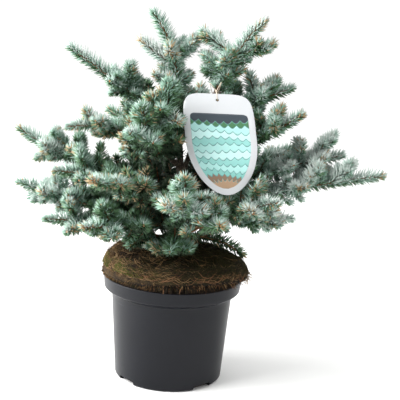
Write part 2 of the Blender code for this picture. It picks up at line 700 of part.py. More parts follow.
def build_masses(finish, room):
    """Every mass of foliage: all stems are placed first, then side shoots, then needles."""
    draw = random.Random(SEED)
    masses = []
    for owner, limb in enumerate(LIMBS, FIRST_LIMB_PLACE):
        shoots = mass_shoots(limb, draw)
        room.take(owner, *core_balls(shoots[0]))
        masses.append((owner, limb, shoots[:1], shoots[1:]))
    for owner, limb, kept, wanted in masses:
        for shoot in wanted:
            if has_room(owner, shoot, room):
                room.take(owner, *core_balls(shoot), len(kept))
                kept.append(shoot)
    for owner, limb, kept, wanted in masses:
        pieces = [build_shoot(f"{limb.name}_{number}", owner, number, shoot, room)
                  for number, shoot in enumerate(kept)]
        fuse(f"foliage_{limb.name}", pieces, finish)


def label_axes():
    """The label's own directions: to its right, up it, and out of its face."""
    up = unit(np.array(LABEL_HOLE) - np.array(LABEL_FOOT))
    out = unit(np.cross([1.0, 0.0, 0.0], up))
    right = unit(np.cross(up, out))
    return right, up, out


def label_outline(count):
    """Half ellipses, the upper one squarer, sheared so that the right side hangs lower."""
    turns = np.arange(count) * 2 * math.pi / count
    half_width, upper = LABEL_WIDTH / 2, LABEL_HEIGHT * LABEL_UPPER_SHARE
    lower = LABEL_HEIGHT - upper
    power = 2 / np.where(np.sin(turns) > 0, LABEL_TOP_ROUND, LABEL_FOOT_ROUND)
    across = half_width * np.sign(np.cos(turns)) * np.abs(np.cos(turns)) ** power
    tall = np.where(np.sin(turns) > 0, upper, lower)
    along = tall * np.sign(np.sin(turns)) * np.abs(np.sin(turns)) ** power
    return np.stack([across, along - upper + LABEL_HOLE_DROP - LABEL_SKEW * across], axis=1)


def build_label(finish, room, owner):
    """The flat label plate, placed by its hole, with the hole cut through it."""
    right, up, out = label_axes()
    hole = np.array(LABEL_HOLE)
    outline = label_outline(LABEL_SIDES)
    front = [hole + right * x + up * y + out * LABEL_THICKNESS / 2 for x, y in outline]
    back = [point - out * LABEL_THICKNESS for point in front]
    points, faces = skin([back, front])
    label = new_object("label", points, faces, finish)
    turns = np.arange(HOLE_SIDES) * 2 * math.pi / HOLE_SIDES
    bore = [[hole + LABEL_HOLE_RADIUS * (math.cos(turn) * right + math.sin(turn) * up) + out * depth
             for turn in turns] for depth in (-0.004, 0.004)]
    points, faces = skin(bore)
    cutter = new_object("label_hole_cutter", points, faces)
    cutter.hide_render = True
    cutter.display_type = 'WIRE'
    cut = label.modifiers.new("hole", 'BOOLEAN')
    cut.operation = 'DIFFERENCE'
    cut.solver = 'EXACT'
    cut.object = cutter
    middle = LABEL_HEIGHT * LABEL_UPPER_SHARE - LABEL_HOLE_DROP
    grid = [hole + right * x * scale + up * ((y + middle) * scale - middle)
            for scale in (1.0, 0.86, 0.7, 0.55, 0.4, 0.25, 0.1) for x, y in outline]
    room.take(owner, grid, LABEL_ROOM)
    return label


def build_string(finish, limb, room, owner):
    """A thin string: round the right leader's bough, and through the top of the label's hole."""
    whole = limb_line(limb)
    total = lengths_along(whole)[-1]
    seat = total * limb.bough_share - STRING_SEAT
    stem = at_length(whole, seat)
    heading = heading_at(whole, seat)
    hole = np.array(LABEL_HOLE)
    pull = unit((hole - stem) - heading * ((hole - stem) @ heading))
    beside = np.cross(heading, pull)
    hug = BOUGH_TIP_RADIUS + STRING_RADIUS + 2 * GAP
    turns = np.radians(np.linspace(-STRING_HUG_TURN, STRING_HUG_TURN, 9))[:, None]
    loop = stem - pull * hug * np.cos(turns) + beside * hug * np.sin(turns)
    right, up, out = label_axes()
    strand = STRING_RADIUS + 2 * GAP
    knot = stem + (hole - stem) * 0.5
    bearing = LABEL_HOLE_RADIUS * math.cos(math.pi / HOLE_SIDES) - STRING_RADIUS - GAP
    front = hole + up * bearing + out * STRING_STAND_OFF
    behind = hole + up * bearing - out * STRING_STAND_OFF
    over = hole + up * (LABEL_HOLE_DROP + 2 * strand)
    line = np.array([*loop, knot + beside * strand, over + right * strand,
                     front + up * LABEL_HOLE_DROP + right * strand, front + right * strand * 0.3,
                     behind - right * strand * 0.3, behind + up * LABEL_HOLE_DROP - right * strand,
                     knot - beside * strand])
    points, faces = [], []
    count = len(line)
    sides = STRING_SIDES
    angles = np.arange(sides)[:, None] * 2 * math.pi / sides
    for number in range(count):
        along = unit(line[(number + 1) % count] - line[number - 1])
        first = unit(np.cross(along, STRING_REFERENCE))
        second = np.cross(along, first)
        points += list(line[number] + STRING_RADIUS * (np.cos(angles) * first + np.sin(angles) * second))
        here, ahead = number * sides, (number + 1) % count * sides
        for side in range(sides):
            beyond = (side + 1) % sides
            faces.append((here + side, here + beyond, ahead + beyond, ahead + side))
    room.take(owner, line, STRING_ROOM)
    return new_object("label_string", points, faces, finish)


def main():
    """Clears the scene and builds the plant in its pot."""
    for piece in list(bpy.data.objects):
        bpy.data.objects.remove(piece)
    bark = material("bark", (0.22, 0.15, 0.10), 0.85)
    needles = material("needles", (0.25, 0.42, 0.40), 0.6)
    room = Room()
    build_pot(material("black_plastic", (0.035, 0.038, 0.042), 0.45))
    build_root_ball(material("peat", (0.035, 0.025, 0.018), 0.95))
    build_mat(material("fibre", (0.20, 0.13, 0.07), 0.95))
    build_trunk(bark)
    heights = np.arange(MAT_TOP + 0.003, TRUNK_TIP_HEIGHT, 0.003)
    room.take(TRUNK_PLACE, [trunk_centre(height) for height in heights],
              [trunk_radius(height) for height in heights])
    for owner, limb in enumerate(LIMBS, FIRST_LIMB_PLACE):
        if limb.bough_share:
            build_bough(limb, bark)
            whole = limb_line(limb)
            stops = np.arange(0, lengths_along(whole)[-1] * limb.bough_share, 0.003)
            room.take(owner, at_length(whole, stops), BOUGH_FOOT_RADIUS)
    build_label(material("label_plastic", (0.85, 0.86, 0.87), 0.35), room, LABEL_PLACE)
    build_string(material("string", (0.75, 0.66, 0.55), 0.8), LIMBS[0], room, STRING_PLACE)
    build_masses(needles, room)


main()
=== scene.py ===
"""The looks of a potted globosa blue spruce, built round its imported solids.

Metres, Z up, in the frame of the solids: the origin is the centre of the pot's
underside, and the plant is looked at along +Y. The limbs, whorls and side shoots
are worked out by the rule of the solids and carried on to finer twigs, needles and
buds. Every new surface is a grid of points worked out as whole arrays.
"""

import math
import random
from itertools import product
from typing import NamedTuple

import bpy
import numpy as np
from mathutils import Matrix


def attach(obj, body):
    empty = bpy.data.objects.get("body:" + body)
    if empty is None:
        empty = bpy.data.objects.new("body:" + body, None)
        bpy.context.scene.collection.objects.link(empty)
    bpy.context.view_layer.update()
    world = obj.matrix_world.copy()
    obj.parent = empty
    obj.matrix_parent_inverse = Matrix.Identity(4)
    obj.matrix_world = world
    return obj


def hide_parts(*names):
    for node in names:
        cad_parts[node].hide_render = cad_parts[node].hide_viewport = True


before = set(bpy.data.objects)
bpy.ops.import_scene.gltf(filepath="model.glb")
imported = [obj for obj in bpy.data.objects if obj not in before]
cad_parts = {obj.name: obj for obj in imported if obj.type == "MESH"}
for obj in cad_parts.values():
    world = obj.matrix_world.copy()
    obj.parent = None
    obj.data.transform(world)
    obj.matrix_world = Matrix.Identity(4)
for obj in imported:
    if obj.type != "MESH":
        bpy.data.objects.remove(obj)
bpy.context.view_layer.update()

# Upwards, and the camera: its place, how far it looks down and rolls, and its lens on a 36 mm sensor
UP = np.array((0.0, 0.0, 1.0))
CAMERA_PLACE = np.array((0.0382, -1.5, 0.6181))
CAMERA_DOWN = 0.2076
CAMERA_ROLL = 0.0591
CAMERA_LENS = 83.74

# Pot: a thin-walled container with a wide rim band and drain notches in its foot
RIM_RADIUS = 0.115
POT_HEIGHT = 0.174
RIM_BAND = 0.021
WALL_TOP_RADIUS = 0.1005
BASE_RADIUS = 0.090
WALL = 0.0018
FLOOR = 0.0022
FOOT_ROUND = 0.004
RIM_SHOULDER = 0.009
BAND_TUCK = 0.003
POT_SIDES = 144
NOTCHES = 4
NOTCH_TURN = 42.0
NOTCH_WIDTH = 0.036
NOTCH_HEIGHT = 0.0075
NOTCH_DEPTH = 0.013
CUTTER_SPARE = 0.003

# Fibre mat on the root ball, whose dome overhangs the rim at both sides
GAP = 0.0003
MAT_CENTRE = (0.0035, 0.001)
MAT_HALF_WIDTH = 0.1215
MAT_HALF_DEPTH = 0.109
MAT_UNDERSIDE = POT_HEIGHT + 2 * GAP
MAT_EDGE_HEIGHT = 0.0055
MAT_TOP = 0.2220
MAT_SQUARENESS = 2.5
MAT_LEAN = 0.5
LIP_TURN = math.radians(-72)
LIP_SPREAD = 0.72
LIP_RISE = 0.0065
MAT_WAVE = 0.012
MAT_SIDES = 260
MAT_ROWS = 80
MAT_UNDER = ((0.4, 0.0), (0.905, 0.0), (0.900, 0.5), (0.905, 0.95), (0.96, 1.0), (0.99, 1.25))
STRANDS = 5600
STRAND_STEPS = 5
MOSS_TUFTS = 8000
MOSS_TURN = math.radians(208)
FUZZ_HAIRS = 5200
# A tilted plane under the mat's front lip: felt and fibres below it are painted dark, a painted shadow of the
# lip
LIP_SHADOW_LINE = (-0.046, 0.069, 1.0)
LIP_SHADOW_LEVEL = 0.1765

# Trunk: leans a little and tapers from a flared foot on the mat to its tip
TRUNK_FOOT = (0.009, 0.001)
TRUNK_TIP = (-0.010, 0.0)
TRUNK_TIP_HEIGHT = 0.474
TRUNK_BEND = 0.004
TRUNK_FOOT_RADIUS = 0.0095
TRUNK_TIP_RADIUS = 0.0036
TRUNK_FLARE = 0.0055
FLARE_HEIGHT = 0.012
TRUNK_ROWS = 150
TRUNK_SIDES = 40
LEADER_WAY = (0.02, 0.0, 1.0)
LEADER_PULL = 0.56

# Boughs, stems and side shoots
BOUGH_FOOT_RADIUS = 0.0042
BOUGH_TIP_RADIUS = 0.0030
STEM_TIP_RADIUS = 0.0013
SHOOT_FOOT_RADIUS = 0.0019
SHOOT_TIP_RADIUS = 0.0011
BOUGH_ROWS = 60
BOUGH_SIDES = 14
LINE_POINTS = 61
SHOOT_POINTS = 15
HEADING_STEP = 0.002
BARE_FOOT = 0.010
SHOOT_LIFT = 0.16
TWIG_SAG = 0.05
JITTER_DEGREES = 7.0
JITTER_LENGTH = 0.12
STEM_AGE = 0.55
SIDE_AGES = (0.10, 0.5)
AGE_PER_METRE = 2.2
AGE_FROM = 0.07
TRUNK_ROOM = 0.004
MAT_ROOM = 0.006
SEED = 11

# Finer twigs: pairs on the side shoots, and short inner shoots along bough and stem
FINE_LEAST_REACH = 0.036
FINE_PLACES = (0.38, 0.60)
FINE_SHARE = 0.42
INNER_SPACING = 0.00725
INNER_TURN = 137.5
INNER_REACH = 0.040
INNER_CLEAR_TIP = 0.074
INNER_SPREAD = 60.0

# Gaps in the crown that finer twigs leave open: across, height and radius on the upright plane
# through the trunk, looked at from the front. At the crown's foot needles leave them open too, each
# over its own share of the radius, between these two
FOOT_GAPS = ((-0.028, 0.244, 0.018), (0.036, 0.253, 0.019))
CROWN_GAPS = (*FOOT_GAPS, (0.008, 0.528, 0.019), (0.029, 0.497, 0.016), (-0.043, 0.507, 0.015),
              (-0.051, 0.537, 0.015), (-0.127, 0.489, 0.019), (-0.109, 0.522, 0.015),
              (-0.110, 0.429, 0.014), (-0.112, 0.398, 0.009), (0.266, 0.334, 0.016),
              (0.231, 0.327, 0.015), (0.161, 0.398, 0.015), (-0.151, 0.440, 0.013),
              (0.098, 0.515, 0.015), (0.033, 0.581, 0.013))
CLEAR_SHARE = (0.20, 0.66)

# Needles, and the buds at the tips
NEEDLES_PER_METRE = 3150
NEEDLE_LENGTH = 0.0212
NEEDLE_WIDTH = 0.0026
NEEDLE_ANGLE = 69.0
NEEDLES_PER_PIECE = 32000
NEEDLE_TURN = 137.508
TUFT_NEEDLES = 18
CROSSING = (0.31, 0.27, 0.91)
TIP_ANGLE = 44.0
TIP_ZONE = 0.020
YOUNG_WOOD = 0.090
# Needles near the crown's heart get deeper shades within this reach: partly older needles, partly painted
# shade of the crown's inside
SHADED_REACH = 0.19
CROWN_HEART = (-0.005, -0.010, 0.330)
STEM_END = 0.0090
BUD_LENGTH = 0.0072
BUD_RADIUS = 0.0025
BUD_SIDES = 6
BUD_PROFILE = ((0.55, -0.15), (1.0, 0.22), (0.78, 0.60))
BUD_ENDS = (1.0, -0.15)
BUD_CLUSTER = ((1.0, 0.0), (0.62, 0.8), (0.58, -0.75))

# Light: a surround that is dimmer behind the camera, and square lights by name: place, what they
# face, side, power, and whether glossy surfaces mirror them
WORLD_STRENGTH = 1.38
WORLD_DIM = 0.10
WORLD_FACING = (-0.22, 0.976, 0.0)
WORLD_EASE = (-0.95, 0.05)
LIGHTS = {"key": ((-1.7, -0.9, 2.1), (0, 0, 0.30), 1.5, 88.0, True),
          "left_panel": ((-2.2, -0.25, 0.55), (0, 0, 0.15), 1.5, 88.0, True),
          "fill": ((1.6, -1.5, 0.48), (0.1, 0, 0.35), 1.0, 16.0, False)}
FLOOR_HALF_SIZE = 120.0

# Label that hangs by a string from the right leader
LABEL_WIDTH = 0.109
LABEL_HEIGHT = 0.1605
LABEL_THICKNESS = 0.0008
LABEL_HOLE_RADIUS = 0.0024
LABEL_HOLE_DROP = 0.0100
LABEL_TOP_ROUND = 5.6
LABEL_FOOT_ROUND = 1.86
LABEL_UPPER_SHARE = 0.477
LABEL_SKEW = 0.1365
LABEL_UPPER = LABEL_HEIGHT * LABEL_UPPER_SHARE
LABEL_HOLE = np.array((0.0557, -0.0580, 0.4739))
LABEL_FOOT = np.array((0.0781, -0.1143, 0.3361))
LABEL_SIDES = 96
LABEL_MARGIN = 1.30
LABEL_ROOM = 0.030
LABEL_BORDER = 0.0098
PANEL_TOP = 0.0445
PANEL_FOOT = -0.0738
PANEL_CORNER = 0.0055
PANEL_ROWS = (("clay", 0.10), ("earth", 0.06), ("sea", 0.07), ("pale", 0.09), ("mint", 0.08),
              ("frost", 0.09), ("pale", 0.09), ("mint", 0.08), ("frost", 0.09), ("pale", 0.09),
              ("leaf", 0.05), ("slate", 0.11))
PRINT_COLUMNS = 90
PRINT_ROWS = 6
SCALLOPS = 3.5
SCALLOP_RISE = 0.0050
SCALLOP_LINE = 0.0012
STRING_RADIUS = 0.0006
STRING_SIDES = 8
STRING_SEAT = 0.006
STRING_RISE = 0.0135
STRING_SPREAD = 0.0088


class Fringe(NamedTuple):
    """Loose fibres out of the mat's edge, and the shares of their kinds.

    Turns are a middle and a spread where they crowd, and otherwise a first and a last one. Heights are
    over the mat's underside.
    """
    count: int
    crowded: bool
    turns: tuple
    heights: tuple
    rise: float
    lengths: tuple
    droop: float
    on_rim: bool
    shares: tuple


# Fringes: hanging under the front lip, frayed at the right, fine hairs on the lip, short ones on the rim
FRINGE_KINDS = ("dark", "olive", "brown", "rust", "tan")
FRINGES = (
    # The fringe under the front lip is mostly dark: partly dark fibre, partly a painted shadow of the lip
    Fringe(420, True, (LIP_TURN, 0.50), (0.0050, 0.0125), -0.60, (0.003, 0.013), 0.6, True,
           (0.90, 0.04, 0.04, 0.02, 0)),
    Fringe(60, False, (-0.45, 0.10), (0.0010, 0.0095), 0.15, (0.006, 0.019), 0.5, False,
           (0, 0, 0.4, 0, 0.6)),
    Fringe(110, True, (LIP_TURN, 0.45), (0.0095, 0.0135), -0.20, (0.004, 0.010), 0.5, False,
           (0, 0, 0.45, 0.30, 0.25)),
    Fringe(900, False, (2.60, 4.60), (0.0010, 0.0075), -0.50, (0.002, 0.007), 0.5, True,
           (0.22, 0.26, 0.34, 0.04, 0.14)),
)


class Whorl(NamedTuple):
    """Side shoots that leave one point of a stem, counted back from its tip."""
    back: float
    count: int
    length: float
    spread: float
    roll: float


def whorls(*rows):
    """Whorls from rows of their five values."""
    return tuple(Whorl(*row) for row in rows)


class Limb(NamedTuple):
    """One limb: where it leaves the trunk, where its tip is, and how it bows."""
    name: str
    leaves_at: float
    azimuth: float
    reach: float
    tip_height: float
    bow: float
    bough_share: float
    whorls: tuple


# Side shoots of a usual limb, of one with none on top, and of a short one
BRANCHED = whorls((0.066, 3, 0.048, 48, 0), (0.118, 2, 0.056, 52, 90))
LEVEL = whorls((0.070, 2, 0.042, 46, 90), (0.120, 2, 0.054, 52, 80))
FORKED = whorls((0.060, 3, 0.044, 50, 0))

# Side shoots of the limbs whose own pattern shows against the sky
LEFT_LEADER = whorls((0.093, 1, 0.062, 52, 180), (0.084, 1, 0.046, 61, 0), (0.086, 2, 0.034, 58, 90),
                     (0.116, 1, 0.032, 68, 180), (0.122, 2, 0.028, 62, 0), (0.132, 1, 0.038, 72, 180),
                     (0.128, 1, 0.055, 80, 130), (0.130, 2, 0.034, 58, 20))
RIGHT_LEADER = whorls((0.074, 1, 0.060, 92, 0), (0.070, 1, 0.061, 50, 180), (0.098, 1, 0.046, 96, 0),
                      (0.100, 2, 0.032, 52, 110), (0.108, 1, 0.030, 50, 180), (0.113, 1, 0.038, 96, 0),
                      (0.122, 2, 0.034, 56, 70))
UPPER_LEFT = whorls((0.116, 1, 0.036, 66, 0), (0.108, 2, 0.040, 48, 110), (0.130, 1, 0.034, 40, 180),
                    (0.126, 1, 0.026, 62, 0), (0.132, 2, 0.050, 66, 110))
LEFT_FRONT_HIGH = whorls((0.052, 1, 0.034, 38, 0), (0.070, 2, 0.042, 46, 90), (0.092, 1, 0.046, 34, 180),
                         (0.120, 2, 0.054, 52, 80), (0.124, 1, 0.040, 56, 180))
LEFT_MID = whorls((0.080, 1, 0.036, 66, 0), (0.072, 1, 0.038, 60, 180), (0.112, 1, 0.036, 84, 0),
                  (0.088, 2, 0.045, 50, 90), (0.135, 2, 0.050, 54, 70))
LEFT_LOW = whorls((0.080, 1, 0.064, 25, 185), (0.074, 1, 0.030, 68, 0), (0.078, 2, 0.046, 50, 90),
                  (0.115, 1, 0.058, 38, 172), (0.128, 2, 0.054, 54, 90))
RIGHT_TOP = whorls((0.064, 1, 0.050, 26, 0), (0.070, 2, 0.036, 50, 110), (0.067, 1, 0.048, 80, 0),
                   (0.108, 2, 0.050, 56, 60))
FRONT_HIGH = whorls((0.060, 1, 0.058, 62, 0), (0.060, 2, 0.044, 50, 120))
FRONT_RIGHT_LOW = whorls((0.066, 1, 0.044, 48, 0), (0.066, 2, 0.034, 42, 100), (0.118, 2, 0.046, 52, 60))
RIGHT_HIGH = whorls((0.066, 1, 0.044, 40, 0), (0.074, 1, 0.036, 80, 0), (0.066, 2, 0.034, 48, 112),
                    (0.108, 1, 0.056, 66, 30), (0.118, 2, 0.036, 56, 110))
RIGHT_BACK = whorls((0.050, 2, 0.030, 52, 90), (0.120, 2, 0.050, 52, 80))
RIGHT_MID = whorls((0.066, 1, 0.069, 34, 0), (0.068, 2, 0.044, 46, 90), (0.080, 1, 0.036, 74, 0),
                   (0.122, 2, 0.054, 52, 90))
RIGHT_LOW = whorls((0.090, 1, 0.050, 24, 0), (0.110, 1, 0.040, 50, 60), (0.116, 1, 0.030, 64, 20),
                   (0.135, 1, 0.050, 52, 320), (0.160, 2, 0.050, 52, 90), (0.190, 1, 0.060, 46, 180))
RIGHT_BACK_LOW = whorls((0.066, 2, 0.044, 46, 60), (0.075, 1, 0.044, 50, 180), (0.098, 1, 0.030, 50, 180),
                        (0.118, 2, 0.056, 52, 90))

# The limbs, from the leaders down. A share of 0 is a mass whose stem meets the trunk
LIMBS = (
    Limb("right_leader", 0.354, 347, 0.130, 0.599, 0.040, 0.50, RIGHT_LEADER),
    Limb("upper_left", 0.426, 192, 0.186, 0.543, 0.000, 0.34, UPPER_LEFT),
    Limb("right_top", 0.420, 0, 0.180, 0.495, 0.002, 0.36, RIGHT_TOP),
    Limb("left_front_high", 0.362, 207, 0.197, 0.421, 0.024, 0.36, LEFT_FRONT_HIGH),
    Limb("left_mid", 0.338, 176, 0.270, 0.403, -0.024, 0.40, LEFT_MID),
    Limb("left_low", 0.285, 180, 0.267, 0.316, -0.010, 0.40, LEFT_LOW),
    Limb("front_left", 0.300, 239, 0.234, 0.364, 0.000, 0.38, LEVEL),
    Limb("left_front_low", 0.252, 196, 0.221, 0.269, 0.002, 0.38, BRANCHED),
    Limb("front_low", 0.290, 274, 0.241, 0.353, -0.004, 0.38, BRANCHED),
    Limb("front_right_low", 0.262, 288, 0.231, 0.313, -0.004, 0.38, FRONT_RIGHT_LOW),
    Limb("front_right", 0.278, 317, 0.218, 0.336, 0.000, 0.38, BRANCHED),
    Limb("right_low", 0.290, 355, 0.335, 0.366, 0.003, 0.42, RIGHT_LOW),
    Limb("right_mid", 0.322, 2, 0.273, 0.390, 0.000, 0.40, RIGHT_MID),
    Limb("right_back", 0.308, 30, 0.226, 0.382, 0.000, 0.38, RIGHT_BACK),
    Limb("back_right", 0.335, 62, 0.240, 0.385, 0.000, 0.38, BRANCHED),
    Limb("back_left", 0.315, 112, 0.250, 0.370, 0.000, 0.38, BRANCHED),
    Limb("back_low", 0.275, 88, 0.225, 0.300, 0.000, 0.38, BRANCHED),
    Limb("back_high", 0.395, 78, 0.195, 0.455, 0.000, 0.36, BRANCHED),
    Limb("left_leader", TRUNK_TIP_HEIGHT, 180, 0.056, 0.605, 0.000, 0, LEFT_LEADER),
    Limb("left_back_high", 0.385, 152, 0.145, 0.436, 0.000, 0, FORKED),
    Limb("front_left_high", 0.375, 249, 0.196, 0.433, 0.006, 0, BRANCHED),
    Limb("front_high", 0.410, 260, 0.160, 0.467, 0.004, 0, FRONT_HIGH),
    Limb("right_high", 0.335, 350, 0.200, 0.459, 0.000, 0, RIGHT_HIGH),
    Limb("left_front", 0.312, 202, 0.211, 0.351, 0.008, 0, BRANCHED),
    Limb("front_left_low", 0.262, 228, 0.205, 0.281, 0.000, 0, BRANCHED),
    Limb("right_back_low", 0.262, 24, 0.225, 0.257, 0.006, 0, RIGHT_BACK_LOW),
    Limb("back_left_low", 0.262, 147, 0.216, 0.284, 0.000, 0, BRANCHED),
    Limb("back_top", 0.440, 96, 0.130, 0.492, 0.000, 0, FORKED),
    Limb("droop_front", 0.234, 268, 0.118, 0.238, 0.010, 0, FORKED),
    Limb("droop_left", 0.236, 222, 0.100, 0.232, 0.010, 0, FORKED),
    Limb("droop_right", 0.240, 10, 0.122, 0.204, 0.011, 0, ()),
)


# Colours, as linear red, green and blue
POT_BLACK = (0.0026, 0.0031, 0.0052)
POT_DUSTY = (0.0050, 0.0057, 0.0086)
POT_SCUFF = (0.060, 0.062, 0.072)
PEAT_DARK = (0.016, 0.011, 0.008)
PEAT_SPECK = (0.050, 0.032, 0.020)
FELT_BROWN = (0.046, 0.028, 0.011)
FELT_TAN = (0.092, 0.056, 0.022)
# The felt's damp and dark colours also paint shade on the mat's right half and a shadow under its lip
FELT_DAMP_AND_SHADE = (0.020, 0.019, 0.006)
FELT_DARK_AND_SHADOW = (0.010, 0.007, 0.005)
STRAND_COLOURS = {"tan": (0.262, 0.160, 0.074), "brown": (0.110, 0.065, 0.030),
                  "rust": (0.225, 0.110, 0.054), "dark": (0.018, 0.012, 0.007),
                  "olive": (0.036, 0.034, 0.012)}
MOSS_GREEN = (0.068, 0.078, 0.014)
FUZZ_OLIVE = (0.040, 0.032, 0.012)
TRUNK_BARK = (0.150, 0.112, 0.080)
TRUNK_CREVICE = (0.030, 0.020, 0.013)
TRUNK_FLAKE = (0.270, 0.220, 0.170)
TWIG_BARK = (0.230, 0.115, 0.045)
TWIG_CREVICE = (0.080, 0.038, 0.016)
TWIG_FLAKE = (0.330, 0.190, 0.085)
BUD_BROWN = (0.400, 0.190, 0.075)
# Needle shades from pale to deep: besides age, the pale ones paint lit upper sides and the deep ones shaded
# undersides and insides, painted light and shade
NEEDLE_SHADES = (("frost", 0.08, (0.525, 0.592, 0.552)), ("blue", 0.28, (0.372, 0.485, 0.428)),
                 ("sea", 0.47, (0.192, 0.324, 0.246)), ("green", 0.70, (0.060, 0.140, 0.058)),
                 ("deep", 1.50, (0.012, 0.036, 0.011)), ("straw", 9.00, (0.360, 0.262, 0.138)))
STRAW_SHARE = 0.003
TIP_STRAW = 0.26
BROWNED_TIPS = 0.42
STRAW_SHADE = 2.0
STRAW_LIMBS = {"front_left": 0.50, "front_right": 0.26, "left_front_high": 0.34, "right_leader": 0.10,
               "left_mid": 0.08}
# Shade offsets by limb: partly how young and pale each limb's needles are, partly painted light and shade
# that evens out how each limb is lit
SHADE_LIMBS = {"right_low": -0.22, "right_mid": -0.16, "front_right": -0.10, "front_right_low": -0.06,
               "right_back_low": -0.06, "right_back": -0.06, "right_leader": 0.03, "left_leader": -0.10,
               "upper_left": -0.04, "front_left_high": 0.09, "front_high": 0.07, "left_back_high": 0.06,
               "right_top": 0.05, "right_high": 0.03, "left_front_high": 0.04, "front_left": 0.05,
               "droop_right": 0.16}
LABEL_WHITE = (0.520, 0.536, 0.550)
LABEL_TINTS = {"earth": (0.230, 0.150, 0.100), "clay": (0.360, 0.240, 0.150), "pale": (0.370, 0.650, 0.620),
               "mint": (0.255, 0.540, 0.505), "frost": (0.480, 0.730, 0.710), "sea": (0.210, 0.480, 0.440),
               "teal": (0.100, 0.250, 0.235), "leaf": (0.060, 0.170, 0.080), "slate": (0.045, 0.058, 0.070)}
PRINT_STEP = 0.00006
STRING_PALE = (0.62, 0.53, 0.42)
FLOOR_WHITE = (0.94, 0.94, 0.93)


def unit(vectors):
    """Vectors at length one, along the last axis."""
    vectors = np.asarray(vectors, float)
    return vectors / np.maximum(np.linalg.norm(vectors, axis=-1, keepdims=True), 1e-12)


def noise(points, size, seed=0):
    """Smooth noise from -1 to 1: random values on a lattice of this size, blended between corners."""
    place = np.asarray(points, float) / size
    cell = np.floor(place).astype(np.int64)
    within = place - cell
    blend = within * within * (3 - 2 * within)
    total = np.zeros(place.shape[:-1])
    for corner in product((0, 1), repeat=3):
        at = cell + np.array(corner)
        mixed = at[..., 0] * 73856093 ^ at[..., 1] * 19349663 ^ at[..., 2] * 83492791 ^ (seed + 1) * 40503
        mixed = (mixed ^ mixed >> 15) * 2246822519 & 0xffffffff
        mixed = (mixed ^ mixed >> 13) * 3266489917 & 0xffffffff
        value = (mixed ^ mixed >> 16) / 0xffffffff
        total += np.prod(np.where(corner, blend, 1 - blend), axis=-1) * value
    return total * 2 - 1


def layered_noise(points, size, layers=3, seed=0):
    """Noise added to itself at half the size and half the height, layer by layer."""
    return sum(noise(points, size / 2 ** layer, seed + layer) / 2 ** layer for layer in range(layers))


def new_piece(name, points, face_sets, finish, smooth=True):
    """A piece at the origin, made of one array of points and arrays of triangles or quads."""
    points = np.ascontiguousarray(np.reshape(points, (-1, 3)), np.float32)
    face_sets = [np.asarray(faces, np.int32) for faces in face_sets if len(faces)]
    corners = np.concatenate([faces.ravel() for faces in face_sets])
    sizes = np.concatenate([np.full(len(faces), faces.shape[1], np.int32) for faces in face_sets])
    mesh = bpy.data.meshes.new(name)
    mesh.vertices.add(len(points))
    mesh.vertices.foreach_set("co", points.ravel())
    mesh.loops.add(len(corners))
    mesh.loops.foreach_set("vertex_index", corners)
    mesh.polygons.add(len(sizes))
    mesh.polygons.foreach_set("loop_start", np.concatenate([[0], np.cumsum(sizes)[:-1]]).astype(np.int32))
    mesh.polygons.foreach_set("loop_total", sizes)
    mesh.polygons.foreach_set("use_smooth", np.full(len(sizes), smooth))
    mesh.update()
    mesh.validate()
    mesh.materials.append(finish)
    piece = bpy.data.objects.new(name, mesh)
    bpy.context.scene.collection.objects.link(piece)
    return piece


def ring_faces(rows, sides, closed_rows=False):
    """Quads between rings of points, each quad from a ring to the next and one side on."""
    row = np.arange(rows if closed_rows else rows - 1)[:, None]
    side = np.arange(sides)[None]
    low, high = row * sides, (row + 1) % rows * sides
    beside = (side + 1) % sides
    return np.stack([low + side, low + beside, high + beside, high + side], axis=-1).reshape(-1, 4)


def turns_round(sides):
    """Turns that share out a full circle."""
    return np.arange(sides) * 2 * math.pi / sides


def circle(turns, first, second):
    """Directions round each pair of axes: cos turn x first + sin turn x second."""
    return np.cos(turns)[:, None] * first[..., None, :] + np.sin(turns)[:, None] * second[..., None, :]


def outwards_at(turn, rise=0.0):
    """Directions out from the vertical at turns round it, with this much rise."""
    return np.stack([np.cos(turn), np.sin(turn), np.broadcast_to(rise, np.shape(turn))], axis=-1)


def square_axes(ways, reference):
    """Two directions square to each way and to each other, the first also square to a reference."""
    aside = unit(np.cross(ways, reference))
    return aside, np.cross(aside, ways)


def closed_rings(rings):
    """Points, quads and triangles of a stack of rings, each end closed by a fan to the ring's middle."""
    rows, sides = rings.shape[:2]
    points = np.vstack([rings.reshape(-1, 3), rings[0].mean(axis=0), rings[-1].mean(axis=0)])
    side = np.arange(sides)
    beside = (side + 1) % sides
    foot, top = rows * sides, rows * sides + 1
    last = (rows - 1) * sides
    start = np.stack([np.full(sides, foot), beside, side], axis=1)
    end = np.stack([last + side, last + beside, np.full(sides, top)], axis=1)
    return points, [ring_faces(rows, sides), np.vstack([start, end])]


def join(shapes):
    """Many closed shapes as one: their points stacked, and their face numbers moved on."""
    points = [shape[0] for shape in shapes]
    firsts = np.cumsum([0] + [len(some) for some in points])
    quads, triangles = (np.vstack([faces[kind] + first for (_, faces), first in zip(shapes, firsts)])
                        for kind in (0, 1))
    return np.vstack(points), [quads, triangles]


def repeated(template, count, per_shape):
    """The faces of one small shape, for many copies whose points follow each other."""
    firsts = np.arange(count)[:, None, None] * per_shape
    return (template[None] + firsts).reshape(-1, template.shape[1])


def lengths_along(line):
    """How far each point of a line is from its start, measured along it."""
    return np.concatenate([[0.0], np.cumsum(np.linalg.norm(np.diff(line, axis=0), axis=1))])


def at_length(line, length):
    """Point or points of a line at a length from its start."""
    along = lengths_along(line)
    return np.stack([np.interp(length, along, line[:, axis]) for axis in range(3)], axis=-1)


def headings(line, length):
    """Directions of a line at lengths from its start."""
    length = np.asarray(length, float)
    ahead = np.minimum(length + HEADING_STEP, lengths_along(line)[-1])
    behind = np.maximum(length - HEADING_STEP, 0)
    return unit(at_length(line, ahead) - at_length(line, behind))


